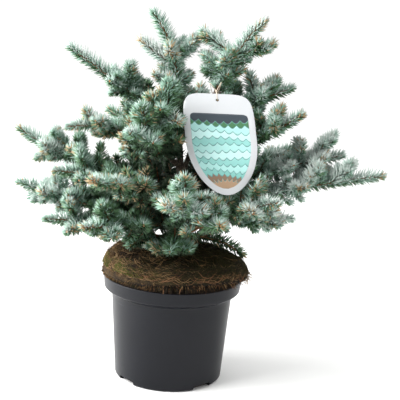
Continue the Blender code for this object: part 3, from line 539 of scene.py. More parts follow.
def around(heading, azimuth):
    """Two directions square to a heading: upwards in its own vertical plane, and sideways."""
    turn = math.radians(azimuth)
    sideways = np.array([-math.sin(turn), math.cos(turn), 0.0])
    upwards = unit(np.cross(heading, sideways))
    return upwards, unit(np.cross(upwards, heading))


def path_headings(paths):
    """Directions at the points of a path, or of many: from the point behind to the one ahead."""
    ahead = np.concatenate([paths[..., 1:, :], paths[..., -1:, :]], axis=-2)
    behind = np.concatenate([paths[..., :1, :], paths[..., :-1, :]], axis=-2)
    return unit(ahead - behind)


def bowed_line(start, end, bow, count):
    """A parabola from start to end whose middle is lifted by bow."""
    share = np.linspace(0, 1, count)[:, None]
    return start + (end - start) * share + UP * bow * 4 * share * (1 - share)


def sweep(line, radii, sides, azimuth):
    """Rings square to a line: line + radius x (cos turn x upwards - sin turn x sideways)."""
    upwards, sideways = around(path_headings(line), azimuth)
    ring = circle(turns_round(sides), upwards, -sideways)
    return line[:, None] + np.broadcast_to(radii, (len(line),))[:, None, None] * ring


def feed(tree, socket, value):
    """Gives a socket a plain value, or links it to another node's output."""
    if isinstance(value, bpy.types.NodeSocket):
        tree.links.new(value, socket)
    else:
        socket.default_value = value


def add_node(tree, kind, inputs, **settings):
    """A node with its settings, each of whose inputs is fed a value or an output."""
    node = tree.nodes.new(kind)
    for name, value in settings.items():
        setattr(node, name, value)
    for label, value in inputs.items():
        feed(tree, node.inputs[label], value)
    return node


def maths(tree, operation, first, second, clamp=False):
    """The output of an operation on two values or outputs, kept from 0 to 1 if clamped."""
    node = add_node(tree, 'ShaderNodeMath', {0: first, 1: second}, operation=operation, use_clamp=clamp)
    return node.outputs[0]


def mask_group(name, **inputs):
    """An empty group from a vector and named inputs to a mask: the group, what it is given, its mask."""
    group = bpy.data.node_groups.new(name, 'ShaderNodeTree')
    new_socket = group.interface.new_socket
    new_socket("Vector", in_out='INPUT', socket_type='NodeSocketVector')
    for label, value in inputs.items():
        kind = 'NodeSocketVector' if isinstance(value, tuple) else 'NodeSocketFloat'
        new_socket(label, in_out='INPUT', socket_type=kind).default_value = value
    new_socket("Mask", in_out='OUTPUT', socket_type='NodeSocketFloat')
    given, result = group.nodes.new('NodeGroupInput'), group.nodes.new('NodeGroupOutput')
    return group, given.outputs, result.inputs["Mask"]


def patches_group():
    """Soft patches: noise at a scale, stretched about a level by a contrast, from 0 to 1."""
    group, given, mask = mask_group("patches", Scale=20.0, Contrast=2.0, Level=0.5)
    cloud = add_node(group, 'ShaderNodeTexNoise', {"Vector": given["Vector"], "Scale": given["Scale"],
                                                   "Detail": 5, "Roughness": 0.6})
    centred = maths(group, 'SUBTRACT', cloud.outputs["Fac"], given["Level"])
    stretched = maths(group, 'MULTIPLY', centred, given["Contrast"])
    feed(group, mask, maths(group, 'ADD', stretched, 0.5, clamp=True))
    return group


def scratches_group():
    """Fine scratches: noise drawn out along Z and round the pot, kept only at its highest values."""
    group, given, mask = mask_group("scratches", Scale=60.0, Threshold=0.62)
    drawn = add_node(group, 'ShaderNodeMapping', {"Vector": given["Vector"], "Rotation": (0.5, 0.35, 0.0),
                                                  "Scale": (0.35, 0.35, 7.0)})
    cloud = add_node(group, 'ShaderNodeTexNoise', {"Vector": drawn.outputs["Vector"],
                                                   "Scale": given["Scale"], "Detail": 3})
    above = maths(group, 'SUBTRACT', cloud.outputs["Fac"], given["Threshold"])
    feed(group, mask, maths(group, 'MULTIPLY', above, 12.0, clamp=True))
    return group


def side_group():
    """A mask that rises from 0 to 1 along a direction, from one level of it to another."""
    group, given, mask = mask_group("side", Direction=(1.0, 0.0, 0.0), Start=0.0, End=1.0)
    reach = add_node(group, 'ShaderNodeVectorMath', {0: given["Vector"], 1: given["Direction"]},
                     operation='DOT_PRODUCT')
    rise = add_node(group, 'ShaderNodeMapRange', {"Value": reach.outputs["Value"],
                                                  "From Min": given["Start"], "From Max": given["End"]})
    feed(group, mask, rise.outputs["Result"])
    return group


PATCHES = patches_group()
SCRATCHES = scratches_group()
SIDE = side_group()


class Finish:
    """A material with its shader, its object coordinates and short ways to add effects."""

    def __init__(self, name, colour, roughness, gloss=0.5):
        self.material = bpy.data.materials.new(name)
        self.material.use_nodes = True
        self.tree = self.material.node_tree
        self.place = self.tree.nodes.new('ShaderNodeTexCoord').outputs["Object"]
        self.shade("Base Color", (*colour, 1.0))
        self.shade("Roughness", roughness)
        self.shade("Specular IOR Level", gloss)

    def shade(self, label, value):
        """Feeds one input of the shader."""
        feed(self.tree, self.tree.nodes["Principled BSDF"].inputs[label], value)

    def effect(self, group, **values):
        """The mask of a group placed in this material, with its own values, at object coordinates."""
        inputs = {"Vector": self.place, **values}
        return add_node(self.tree, 'ShaderNodeGroup', inputs, node_tree=group).outputs["Mask"]

    def mixed_colour(self, mask, first, second):
        """A colour between two, by a mask. Either may be a colour or another mix."""
        first, second = ((*end, 1.0) if isinstance(end, tuple) else end for end in (first, second))
        inputs = {"Factor": mask, "A": first, "B": second}
        return add_node(self.tree, 'ShaderNodeMix', inputs, data_type='RGBA').outputs["Result"]

    def roughness(self, mask, low, high):
        """Roughness between two values, by a mask."""
        inputs = {"Value": mask, "To Min": low, "To Max": high}
        self.shade("Roughness", add_node(self.tree, 'ShaderNodeMapRange', inputs).outputs["Result"])

    def bump(self, mask, distance):
        """Relief from a mask, this deep in metres."""
        inputs = {"Height": mask, "Distance": distance}
        self.shade("Normal", add_node(self.tree, 'ShaderNodeBump', inputs).outputs["Normal"])


def pot_plastic():
    """Black plastic with a soft sheen, duller patches and a few pale scuffs."""
    finish = Finish("pot_plastic", POT_BLACK, 0.42, 0.20)
    dull = finish.effect(PATCHES, Scale=14.0, Contrast=1.6)
    scuffs = finish.effect(SCRATCHES, Scale=22.0, Threshold=0.70)
    plastic = finish.mixed_colour(dull, POT_BLACK, POT_DUSTY)
    finish.shade("Base Color", finish.mixed_colour(scuffs, plastic, POT_SCUFF))
    finish.roughness(dull, 0.30, 0.42)
    finish.bump(finish.effect(PATCHES, Scale=420.0, Contrast=1.0), 0.00008)
    return finish.material


def peat():
    """Dark moist peat, crumbly, with brown specks."""
    finish = Finish("peat", PEAT_DARK, 0.9)
    specks = finish.effect(PATCHES, Scale=260.0, Contrast=3.0, Level=0.56)
    finish.shade("Base Color", finish.mixed_colour(specks, PEAT_DARK, PEAT_SPECK))
    finish.bump(specks, 0.0015)
    return finish.material


def mat_felt():
    """The felted body of the mat: brown with dark patches, darker to the right, partly damp felt and partly
    painted shade, and with a painted shadow under the lip.
    """
    finish = Finish("mat_felt", FELT_BROWN, 0.95, 0.2)
    dark = finish.effect(PATCHES, Scale=70.0, Contrast=3.2)
    fine = finish.effect(PATCHES, Scale=420.0, Contrast=2.6)
    # Darker to the right: partly damp felt, partly painted shade of the crown
    damp_and_shade = finish.effect(SIDE, Direction=(1.0, 0.35, 0.0), Start=-0.105, End=-0.010)
    # Painted shadow: the felt below the lip's tilted plane is darkened
    lip = finish.effect(SIDE, Direction=LIP_SHADOW_LINE, Start=LIP_SHADOW_LEVEL + 0.004, End=LIP_SHADOW_LEVEL)
    felt = finish.mixed_colour(dark, finish.mixed_colour(fine, FELT_BROWN, FELT_TAN), FELT_DARK_AND_SHADOW)
    felt = finish.mixed_colour(damp_and_shade, felt, finish.mixed_colour(fine, FELT_DARK_AND_SHADOW, FELT_DAMP_AND_SHADE))
    finish.shade("Base Color", finish.mixed_colour(lip, felt, FELT_DARK_AND_SHADOW))
    finish.bump(fine, 0.0012)
    return finish.material


def bark(name, colour, crevice, pale, scale, depth):
    """Bark: a colour with pale flakes and dark crevices, and relief drawn from the crevices."""
    finish = Finish(name, colour, 0.85)
    flakes = finish.effect(PATCHES, Scale=scale, Contrast=2.6, Level=0.55)
    cracks = finish.effect(PATCHES, Scale=scale * 3.1, Contrast=3.4, Level=0.47)
    flaked = finish.mixed_colour(flakes, colour, pale)
    finish.shade("Base Color", finish.mixed_colour(cracks, crevice, flaked))
    finish.bump(cracks, depth)
    return finish.material


def plain_leaf(name, colour, roughness, gloss=0.5):
    """A plain base colour for small things joined into one piece, with an uneven waxy gloss."""
    finish = Finish(name, colour, roughness, gloss)
    waxy = finish.effect(PATCHES, Scale=90.0, Contrast=1.5)
    finish.roughness(waxy, roughness - 0.08, roughness + 0.10)
    return finish.material


def printed_plastic(name, colour):
    """A printed or bare face of the label: even colour under a thin gloss with faint handling marks."""
    finish = Finish(name, colour, 0.32)
    finish.roughness(finish.effect(PATCHES, Scale=55.0, Contrast=1.4), 0.26, 0.40)
    return finish.material


def trunk_share(height):
    """How far up the trunk a height is: 0 on the mat, 1 at its tip."""
    return (np.asarray(height, float) - MAT_TOP) / (TRUNK_TIP_HEIGHT - MAT_TOP)


def trunk_centre(height):
    """The trunk's middle at a height: a slight lean with one bend."""
    share = trunk_share(height)
    sway = TRUNK_BEND * np.sin(math.pi * share)
    return np.stack([TRUNK_FOOT[0] + (TRUNK_TIP[0] - TRUNK_FOOT[0]) * share + sway,
                     TRUNK_FOOT[1] + (TRUNK_TIP[1] - TRUNK_FOOT[1]) * share - sway,
                     np.asarray(height, float)], axis=-1)


def trunk_radius(height):
    """The trunk's radius at a height: a straight taper and a flare at the foot."""
    taper = TRUNK_FOOT_RADIUS + (TRUNK_TIP_RADIUS - TRUNK_FOOT_RADIUS) * trunk_share(height)
    return taper + TRUNK_FLARE * np.exp(-(height - MAT_TOP) / FLARE_HEIGHT)


def limb_line(limb):
    """The middle line of a limb, from the trunk's surface to its tip."""
    turn = math.radians(limb.azimuth)
    tip = np.array([limb.reach * math.cos(turn), limb.reach * math.sin(turn), limb.tip_height])
    centre = trunk_centre(limb.leaves_at)
    if limb.leaves_at >= TRUNK_TIP_HEIGHT:
        start = centre + UP * GAP
        upright = start + np.array(LEADER_WAY) * LEADER_PULL * (tip[2] - start[2])
        share = np.linspace(0, 1, LINE_POINTS)[:, None]
        return start * (1 - share) ** 2 + 2 * upright * share * (1 - share) + tip * share ** 2
    outwards = unit([tip[0] - centre[0], tip[1] - centre[1], 0])
    start = centre + outwards * (trunk_radius(limb.leaves_at) + GAP)
    return bowed_line(start, tip, limb.bow, LINE_POINTS)


def mat_outline(turn):
    """Distance from the mat's centre to its wavy edge, at a turn in radians."""
    ellipse = 1 / np.hypot(np.cos(turn) / MAT_HALF_WIDTH, np.sin(turn) / MAT_HALF_DEPTH)
    wave = np.sin(3 * turn + 0.6) + 0.7 * np.sin(7 * turn + 2.1) + 0.5 * np.sin(11 * turn)
    return ellipse * (1 + MAT_WAVE * wave * 0.6)


def lip_rise(turn):
    """How far the mat's lip is raised off the rim at a turn: a soft hump at the front."""
    away = (np.asarray(turn) - LIP_TURN + math.pi) % (2 * math.pi) - math.pi
    return LIP_RISE * np.exp(-(away / LIP_SPREAD) ** 4)


def mat_dome(share, turn):
    """Height of the mat's dome at a share of the way out: fuller on the left, rounder on the right."""
    square = MAT_SQUARENESS - MAT_LEAN * np.cos(turn)
    rise = (1 - np.clip(share, 0, 1) ** square) ** (1 / square)
    edge = MAT_UNDERSIDE + MAT_EDGE_HEIGHT + lip_rise(turn)
    return edge + (MAT_TOP - edge) * rise


def mat_height(points):
    """Height of what a drooping needle would touch: the mat, the rim, or nothing."""
    across, deep = points[..., 0] - MAT_CENTRE[0], points[..., 1] - MAT_CENTRE[1]
    turn = np.arctan2(deep, across)
    share = np.hypot(across, deep) / mat_outline(turn)
    over_rim = np.hypot(points[..., 0], points[..., 1]) < RIM_RADIUS
    return np.where(share < 1, mat_dome(share, turn), np.where(over_rim, POT_HEIGHT, 0.0))


def label_axes():
    """The label's own directions: to its right, up it, and out of its face."""
    up = unit(LABEL_HOLE - LABEL_FOOT)
    out = unit(np.cross([1.0, 0.0, 0.0], up))
    return unit(np.cross(up, out)), up, out


def from_hole(points):
    """How far points lie from the label's hole: to its right, up it, and out of its face."""
    return ((points - LABEL_HOLE) @ axis for axis in label_axes())


def label_outline(upper_part):
    """The label's height and roundness above its widest line, or below it."""
    return (np.where(upper_part, LABEL_UPPER, LABEL_HEIGHT - LABEL_UPPER),
            np.where(upper_part, LABEL_TOP_ROUND, LABEL_FOOT_ROUND))


def meets_label(points, front, back):
    """Whether points lie over the label's outline, this far before it or behind it."""
    right, up, out = from_hole(points)
    along = up + LABEL_UPPER - LABEL_HOLE_DROP + LABEL_SKEW * right
    tall, power = label_outline(along > 0)
    across = np.abs(right) / (LABEL_WIDTH / 2)
    inside = across ** power + (np.abs(along) / tall) ** power < LABEL_MARGIN
    return inside & (out < front) & (out > -back)


class Shoot(NamedTuple):
    """A leafy shoot: its line, its radii, how old it is from 0 to 1, and its limb's azimuth."""
    line: np.ndarray
    foot_radius: float
    tip_radius: float
    age: float
    azimuth: float
    bare: float
    limb: str


def side_shoot(parent, place, spread, roll, reach):
    """The line of a shoot that leaves a parent's line at a length, tilted by spread, turned by roll."""
    root = at_length(parent.line, place)
    heading = headings(parent.line, place)
    upwards, sideways = around(heading, parent.azimuth)
    spread, roll = math.radians(spread), math.radians(roll)
    away = math.cos(roll) * upwards + math.sin(roll) * sideways
    direction = math.cos(spread) * heading + math.sin(spread) * away
    tip = root + direction * reach + UP * (SHOOT_LIFT * reach)
    return bowed_line(root, tip, -TWIG_SAG * reach, SHOOT_POINTS)


def has_room(line):
    """Whether a shoot keeps clear of the label, the mat and the trunk past its own root."""
    beyond = line[4:]
    height = beyond[:, 2]
    off_trunk = np.linalg.norm(beyond[:, :2] - trunk_centre(height)[:, :2], axis=1)
    in_trunk = (off_trunk < trunk_radius(height) + TRUNK_ROOM) & (height < TRUNK_TIP_HEIGHT)
    in_mat = height < mat_height(beyond) + MAT_ROOM
    return not np.any(meets_label(beyond, LABEL_ROOM, 0.005) | in_mat | in_trunk)


def in_gaps(points, gaps, share=1.0):
    """Which points lie in a share of the gaps, carried along the sight lines to the trunk's plane."""
    sight = points - CAMERA_PLACE
    seen = CAMERA_PLACE + sight * (-CAMERA_PLACE[1] / sight[:, 1:2])
    across, height, radius = np.array(gaps).T
    away = np.hypot(seen[:, None, 0] - across, seen[:, None, 2] - height)
    return np.any(away < radius * np.reshape(share, (-1, 1)), axis=1)


def kept_shoots(shoots):
    """The shoots that have room and cross no gap of the crown."""
    return [shoot for shoot in shoots
            if has_room(shoot.line) and not np.any(in_gaps(shoot.line[3:], CROWN_GAPS))]


def limb_shoots(limb, draw):
    """The stem of a limb's mass and the side shoots that its whorls give it, as in the solids."""
    whole = limb_line(limb)
    total = lengths_along(whole)[-1]
    first = total * limb.bough_share
    line = at_length(whole, np.linspace(first, total, 31))
    length = total - first - (GAP if limb.bough_share else 0)
    foot = BOUGH_TIP_RADIUS if limb.bough_share else BOUGH_FOOT_RADIUS
    stem = Shoot(line, foot, STEM_TIP_RADIUS, STEM_AGE, limb.azimuth, 0.0, limb.name)
    sides = []
    for whorl in limb.whorls:
        place = length - whorl.back
        if place < BARE_FOOT:
            continue
        age = min(SIDE_AGES[1], SIDE_AGES[0] + AGE_PER_METRE * max(0.0, whorl.back - AGE_FROM))
        for turn in range(whorl.count):
            roll = whorl.roll + 360 * turn / whorl.count + draw.uniform(-1, 1) * JITTER_DEGREES
            spread = whorl.spread + draw.uniform(-1, 1) * JITTER_DEGREES
            reach = whorl.length * (1 + draw.uniform(-1, 1) * JITTER_LENGTH)
            side = side_shoot(stem, place, spread, roll, reach)
            sides.append(stem._replace(line=side, foot_radius=SHOOT_FOOT_RADIUS,
                                       tip_radius=SHOOT_TIP_RADIUS, age=age, bare=0.002))
    return stem, [side for side in sides if has_room(side.line)]


def finer_shoots(side, draw):
    """A pair of short shoots, one on each side, at each place along a long side shoot."""
    reach = lengths_along(side.line)[-1]
    if reach < FINE_LEAST_REACH:
        return []
    finer = []
    for share, flank in product(FINE_PLACES, (90, 270)):
        length = FINE_SHARE * (1 - share) * reach + 0.009
        line = side_shoot(side, share * reach, 46 + draw.uniform(-6, 6), flank + draw.uniform(-35, 35),
                          length * (1 + draw.uniform(-0.15, 0.15)))
        finer.append(side._replace(line=line, foot_radius=SHOOT_TIP_RADIUS * 1.2, age=side.age + 0.08,
                                   bare=0.003))
    return kept_shoots(finer)


def inner_shoots(limb, draw):
    """Short old shoots along the bough and the first of the stem, turned by the golden angle."""
    whole = limb_line(limb)
    total = lengths_along(whole)[-1]
    parent = Shoot(whole, SHOOT_TIP_RADIUS * 1.3, SHOOT_TIP_RADIUS * 0.9, 1.0, limb.azimuth, 0.003, limb.name)
    inner = []
    for number, place in enumerate(np.arange(0.030, total - INNER_CLEAR_TIP, INNER_SPACING)):
        roll = number * INNER_TURN + draw.uniform(-12, 12)
        reach = INNER_REACH * (1.06 - 0.5 * place / total) * (1 + draw.uniform(-0.25, 0.2))
        line = side_shoot(parent, place, INNER_SPREAD + draw.uniform(-8, 8), roll, reach)
        inner.append(parent._replace(line=line, age=0.98 - 0.55 * place / total))
    return kept_shoots(inner)


def all_shoots():
    """Every leafy shoot of the plant: stems and side shoots first, then the finer and inner ones."""
    draw = random.Random(SEED)
    limbs = [(limb, *limb_shoots(limb, draw)) for limb in LIMBS]
    shoots = [shoot for _, stem, sides in limbs for shoot in (stem, *sides)]
    for limb, _, sides in limbs:
        for side in sides:
            shoots += finer_shoots(side, draw)
        shoots += inner_shoots(limb, draw)
    return shoots


def leafy_length(shoot):
    """How far along its line a shoot's twig runs, before the needles of its tip go on."""
    return lengths_along(shoot.line)[-1] - STEM_END


def build_bark(limbs):
    """Trunk and boughs as one piece: rings whose radius carries ridges, plates and branch collars."""
    foot = MAT_TOP + GAP
    heights = foot + (TRUNK_TIP_HEIGHT - foot) * np.linspace(0, 1, TRUNK_ROWS) ** 1.15
    turns = turns_round(TRUNK_SIDES)
    centres = trunk_centre(heights)
    outwards = outwards_at(turns)
    radii = trunk_radius(heights)[:, None] * np.ones(TRUNK_SIDES)
    smooth = centres[:, None] + radii[..., None] * outwards
    relief = 0.0007 * layered_noise(smooth * np.array([1, 1, 0.45]), 0.0035, 3, 5) - 0.0004
    roots = 0.0022 * np.cos(5 * turns + 0.7) * np.exp(-(heights - MAT_TOP) / 0.008)[:, None]
    shapes = [closed_rings(centres[:, None] + (radii + relief + roots)[..., None] * outwards)]
    for limb in limbs:
        whole = limb_line(limb)
        total = lengths_along(whole)[-1] * limb.bough_share
        stops = np.linspace(-0.004, total, BOUGH_ROWS)
        inside = np.minimum(stops, 0)[:, None] * headings(whole, 0.0)
        line = at_length(whole, np.maximum(stops, 0)) + inside
        radius = np.interp(stops, [0, total], [BOUGH_FOOT_RADIUS, BOUGH_TIP_RADIUS])
        collar = 0.0012 * np.exp(-np.maximum(stops, 0) / 0.004)
        rings = sweep(line, radius + collar, BOUGH_SIDES, limb.azimuth)
        relief = 0.0005 * layered_noise(rings, 0.003, 2, 9)
        shapes.append(closed_rings(rings + unit(rings - line[:, None]) * relief[..., None]))
    return join(shapes)


def build_twigs(shoots):
    """Stems and twigs: tapering rings with a small swelling at every third of a centimetre."""
    shapes = []
    for shoot in shoots:
        length = leafy_length(shoot)
        stops = np.linspace(0, length, max(4, round(length / 0.0050)))
        line = at_length(shoot.line, stops)
        radii = np.interp(stops, [0, length], [shoot.foot_radius, shoot.tip_radius])
        radii = radii * (1 + 0.10 * np.sin(stops / 0.0011))
        shapes.append(closed_rings(sweep(line, radii, 6, shoot.azimuth)))
    return join(shapes)


class Needles(NamedTuple):
    """Many needles as arrays: roots, directions, bends, lengths, and a shade from pale 0 to deep 1, which
    partly paints light and shade.
    """
    roots: np.ndarray
    directions: np.ndarray
    bends: np.ndarray
    lengths: np.ndarray
    shade: np.ndarray


def shoot_needles(shoot, draw):
    """The needles of one shoot, on a golden-angle spiral that crowds towards the upper side.

    A needle leaves the twig at an angle that closes towards the tip. Those under a level
    shoot sweep forward and up, are fewer, and are given a deeper colour. The shades are
    partly the needles' own, by age and chance, and partly painted light and shade: paler on
    the upper side, deeper underneath and near the crown's heart, and shifted by limb.
    """
    length = leafy_length(shoot)
    thinned = NEEDLES_PER_METRE * (1 - 0.62 * max(0.0, shoot.age - 0.30))
    count = max(6, int(thinned * (length - shoot.bare)))
    every = count + TUFT_NEEDLES
    number = np.arange(every)
    place = shoot.bare + (length - shoot.bare) * (number + draw.uniform(-0.5, 0.5, every)) / count
    place = np.where(number < count, np.clip(place, 0, length), length)
    heading = headings(shoot.line, place)
    upwards, sideways = around(heading, shoot.azimuth)
    level = np.sqrt(np.clip(1 - heading[:, 2] ** 2, 0, 1))
    turn = (number * NEEDLE_TURN + draw.uniform(-14, 14, every) + 180) % 360 - 180
    turn = np.radians(turn * (1 - 0.13 * level * (np.abs(turn) / 180) ** 1.5))
    outwards = np.cos(turn)[:, None] * upwards + np.sin(turn)[:, None] * sideways
    below = np.clip(-np.cos(turn), 0, 1) * level
    from_tip = np.clip((length - place) / TIP_ZONE, 0, 1)
    age = shoot.age * np.clip((length - place) / YOUNG_WOOD, 0.35, 1)
    angle = TIP_ANGLE + (NEEDLE_ANGLE - TIP_ANGLE) * from_tip ** 0.6 - 9 * below
    angle = np.where(number < count, angle, draw.uniform(12, 58, every))
    angle = np.radians(angle + draw.normal(0, 4.5, every))
    direction = np.cos(angle)[:, None] * heading + np.sin(angle)[:, None] * outwards
    bend = 0.04 * level[:, None] * UP + 0.04 * heading
    reach = NEEDLE_LENGTH * (1 - 0.28 * (1 - from_tip) - 0.16 * below - 0.10 * shoot.age)
    reach = reach * (1 + draw.uniform(-0.15, 0.08, every))
    root = at_length(shoot.line, place)
    inside = np.clip(1 - np.linalg.norm(root - CROWN_HEART, axis=1) / SHADED_REACH, 0, 1)
    # Painted light and shade: paler on the upper side, deeper underneath, near the crown's heart and by limb;
    # age and chance add the needles' own tones
    shade = (0.25 + 0.46 * age + 0.72 * inside - 0.20 * outwards[:, 2] + 0.16 * below
             + SHADE_LIMBS.get(shoot.limb, 0) + draw.normal(0, 0.10, every) + draw.normal(0, 0.09))
    browned = TIP_STRAW if draw.uniform() < BROWNED_TIPS and shoot.age < 0.6 else 0.0
    chance = (STRAW_LIMBS.get(shoot.limb, 0) * (0.15 + 0.85 * (1 - from_tip)) * (0.2 + below) + STRAW_SHARE
              + browned * (1 - from_tip) ** 2)
    shade = np.where(draw.uniform(0, 1, every) < chance, STRAW_SHADE, shade)
    return Needles(root, unit(direction), bend, reach, shade)


def meets_string(points):
    """Whether points lie before the string's two strands, between the label and the bough."""
    right, up, out = from_hole(points)
    beyond = up - LABEL_HOLE_DROP
    between = (beyond > 0) & (beyond < STRING_RISE + 0.004)
    return between & (np.abs(right) < beyond * 0.7 + 0.003) & (np.abs(out) < LABEL_ROOM)


def all_needles(shoots):
    """The needles of every shoot, without those that meet label, string or mat or close a foot gap."""
    draw = np.random.default_rng(SEED)
    every = [shoot_needles(shoot, draw) for shoot in shoots]
    needles = Needles(*(np.concatenate(columns) for columns in zip(*every)))
    kept = np.ones(len(needles.roots), bool)
    clear = draw.uniform(*CLEAR_SHARE, len(kept))
    for share in (0.35, 0.7, 1.0):
        point = needles.roots + needles.directions * (needles.lengths * share)[:, None]
        kept &= ~(meets_label(point, LABEL_ROOM, 0.0015) | meets_string(point))
        kept &= point[:, 2] > mat_height(point) + 0.0008
        kept &= ~in_gaps(point, FOOT_GAPS, clear)
    return Needles(*(column[kept] for column in needles))


def needle_shapes(needles):
    """Needles as three-sided spindles: a root, a ring a third of the way up, and a bent tip."""
    reach = needles.lengths[:, None]
    bend = needles.bends * reach
    middle = needles.roots + needles.directions * reach * 0.38 - bend * 0.10
    tip = needles.roots + needles.directions * reach + bend
    ring = circle(turns_round(3), *square_axes(needles.directions, CROSSING))
    shoulder = middle[:, None] + ring * NEEDLE_WIDTH * 0.5
    points = np.concatenate([needles.roots[:, None], shoulder, tip[:, None]], axis=1)
    template = np.array([[0, 2, 1], [0, 3, 2], [0, 1, 3], [1, 2, 4], [2, 3, 4], [3, 1, 4]])
    return points.reshape(-1, 3), [repeated(template, len(reach), 5)]


def build_buds(shoots):
    """Buds: a pointed egg on each tip, ringed by two small ones."""
    tips = np.array([at_length(shoot.line, leafy_length(shoot)) for shoot in shoots])
    heads = np.array([headings(shoot.line, leafy_length(shoot)) for shoot in shoots])
    aside, over = square_axes(heads, CROSSING)
    clumps = []
    for size, lean in BUD_CLUSTER:
        axis = unit(heads + lean * aside)
        ring = circle(turns_round(BUD_SIDES), unit(np.cross(axis, over)), over)
        axis = axis * BUD_LENGTH * size
        rings = [(tips + axis * along)[:, None] + ring * BUD_RADIUS * size * wide
                 for wide, along in BUD_PROFILE]
        ends = [(tips + axis * along)[:, None] for along in BUD_ENDS]
        clumps.append(np.concatenate([*rings, *ends], axis=1))
    side = np.arange(BUD_SIDES)
    beside = (side + 1) % BUD_SIDES
    point, foot = 3 * BUD_SIDES, 3 * BUD_SIDES + 1
    caps = np.vstack([np.stack([2 * BUD_SIDES + side, 2 * BUD_SIDES + beside, 0 * side + point], axis=1),
                      np.stack([beside, side, 0 * side + foot], axis=1)])
    faces = [repeated(kind, len(clumps) * len(shoots), foot + 1) for kind in (ring_faces(3, BUD_SIDES), caps)]
    return np.concatenate(clumps).reshape(-1, 3), faces


def pot_profile():
    """Radius and height along the pot's wall: foot, wall, shoulder, band and lip, and back inside."""
    band_foot = POT_HEIGHT - RIM_BAND
    shoulder_foot = band_foot - RIM_SHOULDER
    bend = np.linspace(0, 1, 12)
    ease = bend * bend * (3 - 2 * bend)
    corner = np.linspace(0, math.pi / 2, 7)
    foot = np.stack([BASE_RADIUS - FOOT_ROUND + FOOT_ROUND * np.sin(corner),
                     FOOT_ROUND - FOOT_ROUND * np.cos(corner)], axis=1)
    wall = np.linspace([BASE_RADIUS, FOOT_ROUND], [WALL_TOP_RADIUS, shoulder_foot], 24)[1:-1]
    shoulder = np.stack([WALL_TOP_RADIUS + (RIM_RADIUS - BAND_TUCK * 0.5 - WALL_TOP_RADIUS) * ease,
                         shoulder_foot + (band_foot + 0.001 - shoulder_foot) * bend], axis=1)
    band = np.linspace([RIM_RADIUS - BAND_TUCK * 0.4, band_foot + 0.003],
                       [RIM_RADIUS, POT_HEIGHT - 0.0010], 6)
    turn = np.linspace(0, math.pi, 7)
    lip = np.stack([RIM_RADIUS - WALL / 2 + WALL / 2 * np.cos(turn),
                    POT_HEIGHT - WALL / 2 + WALL / 2 * np.sin(turn)], axis=1)
    return np.vstack([[0.002, 0.0], foot, wall, shoulder, band, lip,
                      band[::-1] - [WALL, 0], shoulder[::-1] - [WALL, -0.0006], wall[::-1] - [WALL, 0],
                      foot[::-1] + [-WALL, FLOOR], [0.002, FLOOR]])


def build_pot(finish):
    """The pot turned from its profile as one shell, with a drain recess cut at each notch."""
    profile = pot_profile()[:, None]
    rings = profile[..., :1] * outwards_at(turns_round(POT_SIDES)) + profile[..., 1:] * UP
    pot = new_piece("pot_shell", *closed_rings(rings), finish)
    for notch in range(NOTCHES):
        cutter = notch_cutter(math.radians(NOTCH_TURN) + notch * 2 * math.pi / NOTCHES)
        cut = pot.modifiers.new("notch", 'BOOLEAN')
        cut.operation = 'DIFFERENCE'
        cut.solver = 'EXACT'
        cut.object = cutter
        shape = bpy.data.meshes.new_from_object(pot.evaluated_get(bpy.context.evaluated_depsgraph_get()))
        pot.modifiers.clear()
        pot.data = shape
        bpy.data.objects.remove(cutter)
    shape.name = "pot_shell"
    smooth_by_angle(pot, 35)
    return pot


def notch_cutter(turn):
    """A rounded block across the foot's corner: a stadium outline carried outwards from the middle."""
    half = NOTCH_WIDTH / 2
    corner = np.linspace(0, math.pi / 2, 6)
    soft = NOTCH_HEIGHT * 0.55
    rise = np.stack([half - soft + soft * np.cos(corner),
                     NOTCH_HEIGHT - soft + soft * np.sin(corner)], axis=1)
    outline = np.vstack([[half, -CUTTER_SPARE], rise, rise[::-1] * [-1, 1], [-half, -CUTTER_SPARE]])
    depths = np.array([BASE_RADIUS - NOTCH_DEPTH + CUTTER_SPARE, BASE_RADIUS + 2 * CUTTER_SPARE])
    aside = np.array([math.sin(turn), -math.cos(turn), 0])
    rings = depths[:, None, None] * outwards_at(turn) + outline[:, :1] * aside + outline[:, 1:] * UP
    points, faces = closed_rings(rings)
    return new_piece("notch_cutter", points, [some[:, ::-1] for some in faces], None)


def smooth_by_angle(piece, degrees):
    """Smooth shading with a hard edge wherever two faces meet at more than this angle."""
    mesh = piece.data
    mesh.polygons.foreach_set("use_smooth", np.full(len(mesh.polygons), True))
    mesh.set_sharp_from_angle(angle=math.radians(degrees))


def mat_points(share, turn):
    """Points of the mat's lumpy surface at shares of the way out and turns about its centre."""
    reach = mat_outline(turn) * share
    smooth = np.stack([MAT_CENTRE[0] + reach * np.cos(turn), MAT_CENTRE[1] + reach * np.sin(turn),
                       mat_dome(share, turn)], axis=-1)
    lumps = 0.0022 * layered_noise(smooth, 0.018, 2, 21) + 0.0014 * layered_noise(smooth, 0.0055, 2, 31)
    lumps = lumps * np.clip((1.02 - share) * 9, 0, 1)
    outwards = np.stack([np.cos(turn) * share, np.sin(turn) * share, np.ones(np.shape(turn))], axis=-1)
    return smooth + lumps[..., None] * outwards


def build_mat(finish):
    """The mat's body: the lumpy dome, rolled under at the lip, and the peat wall set back under it."""
    turn = turns_round(MAT_SIDES)
    share = np.sin(np.linspace(0.02, 1, MAT_ROWS) * math.pi / 2)[:, None]
    dome = mat_points(share * np.ones(MAT_SIDES), np.broadcast_to(turn, (MAT_ROWS, MAT_SIDES)))
    lip = MAT_EDGE_HEIGHT * 0.4 + lip_rise(turn)
    under = []
    for inwards, rise in MAT_UNDER:
        ring = mat_points(np.full(MAT_SIDES, inwards), turn)
        ring[:, 2] = MAT_UNDERSIDE + lip * rise
        under.append(ring)
    return new_piece("mat_body", *closed_rings(np.concatenate([np.array(under), dome[::-1]])), finish)


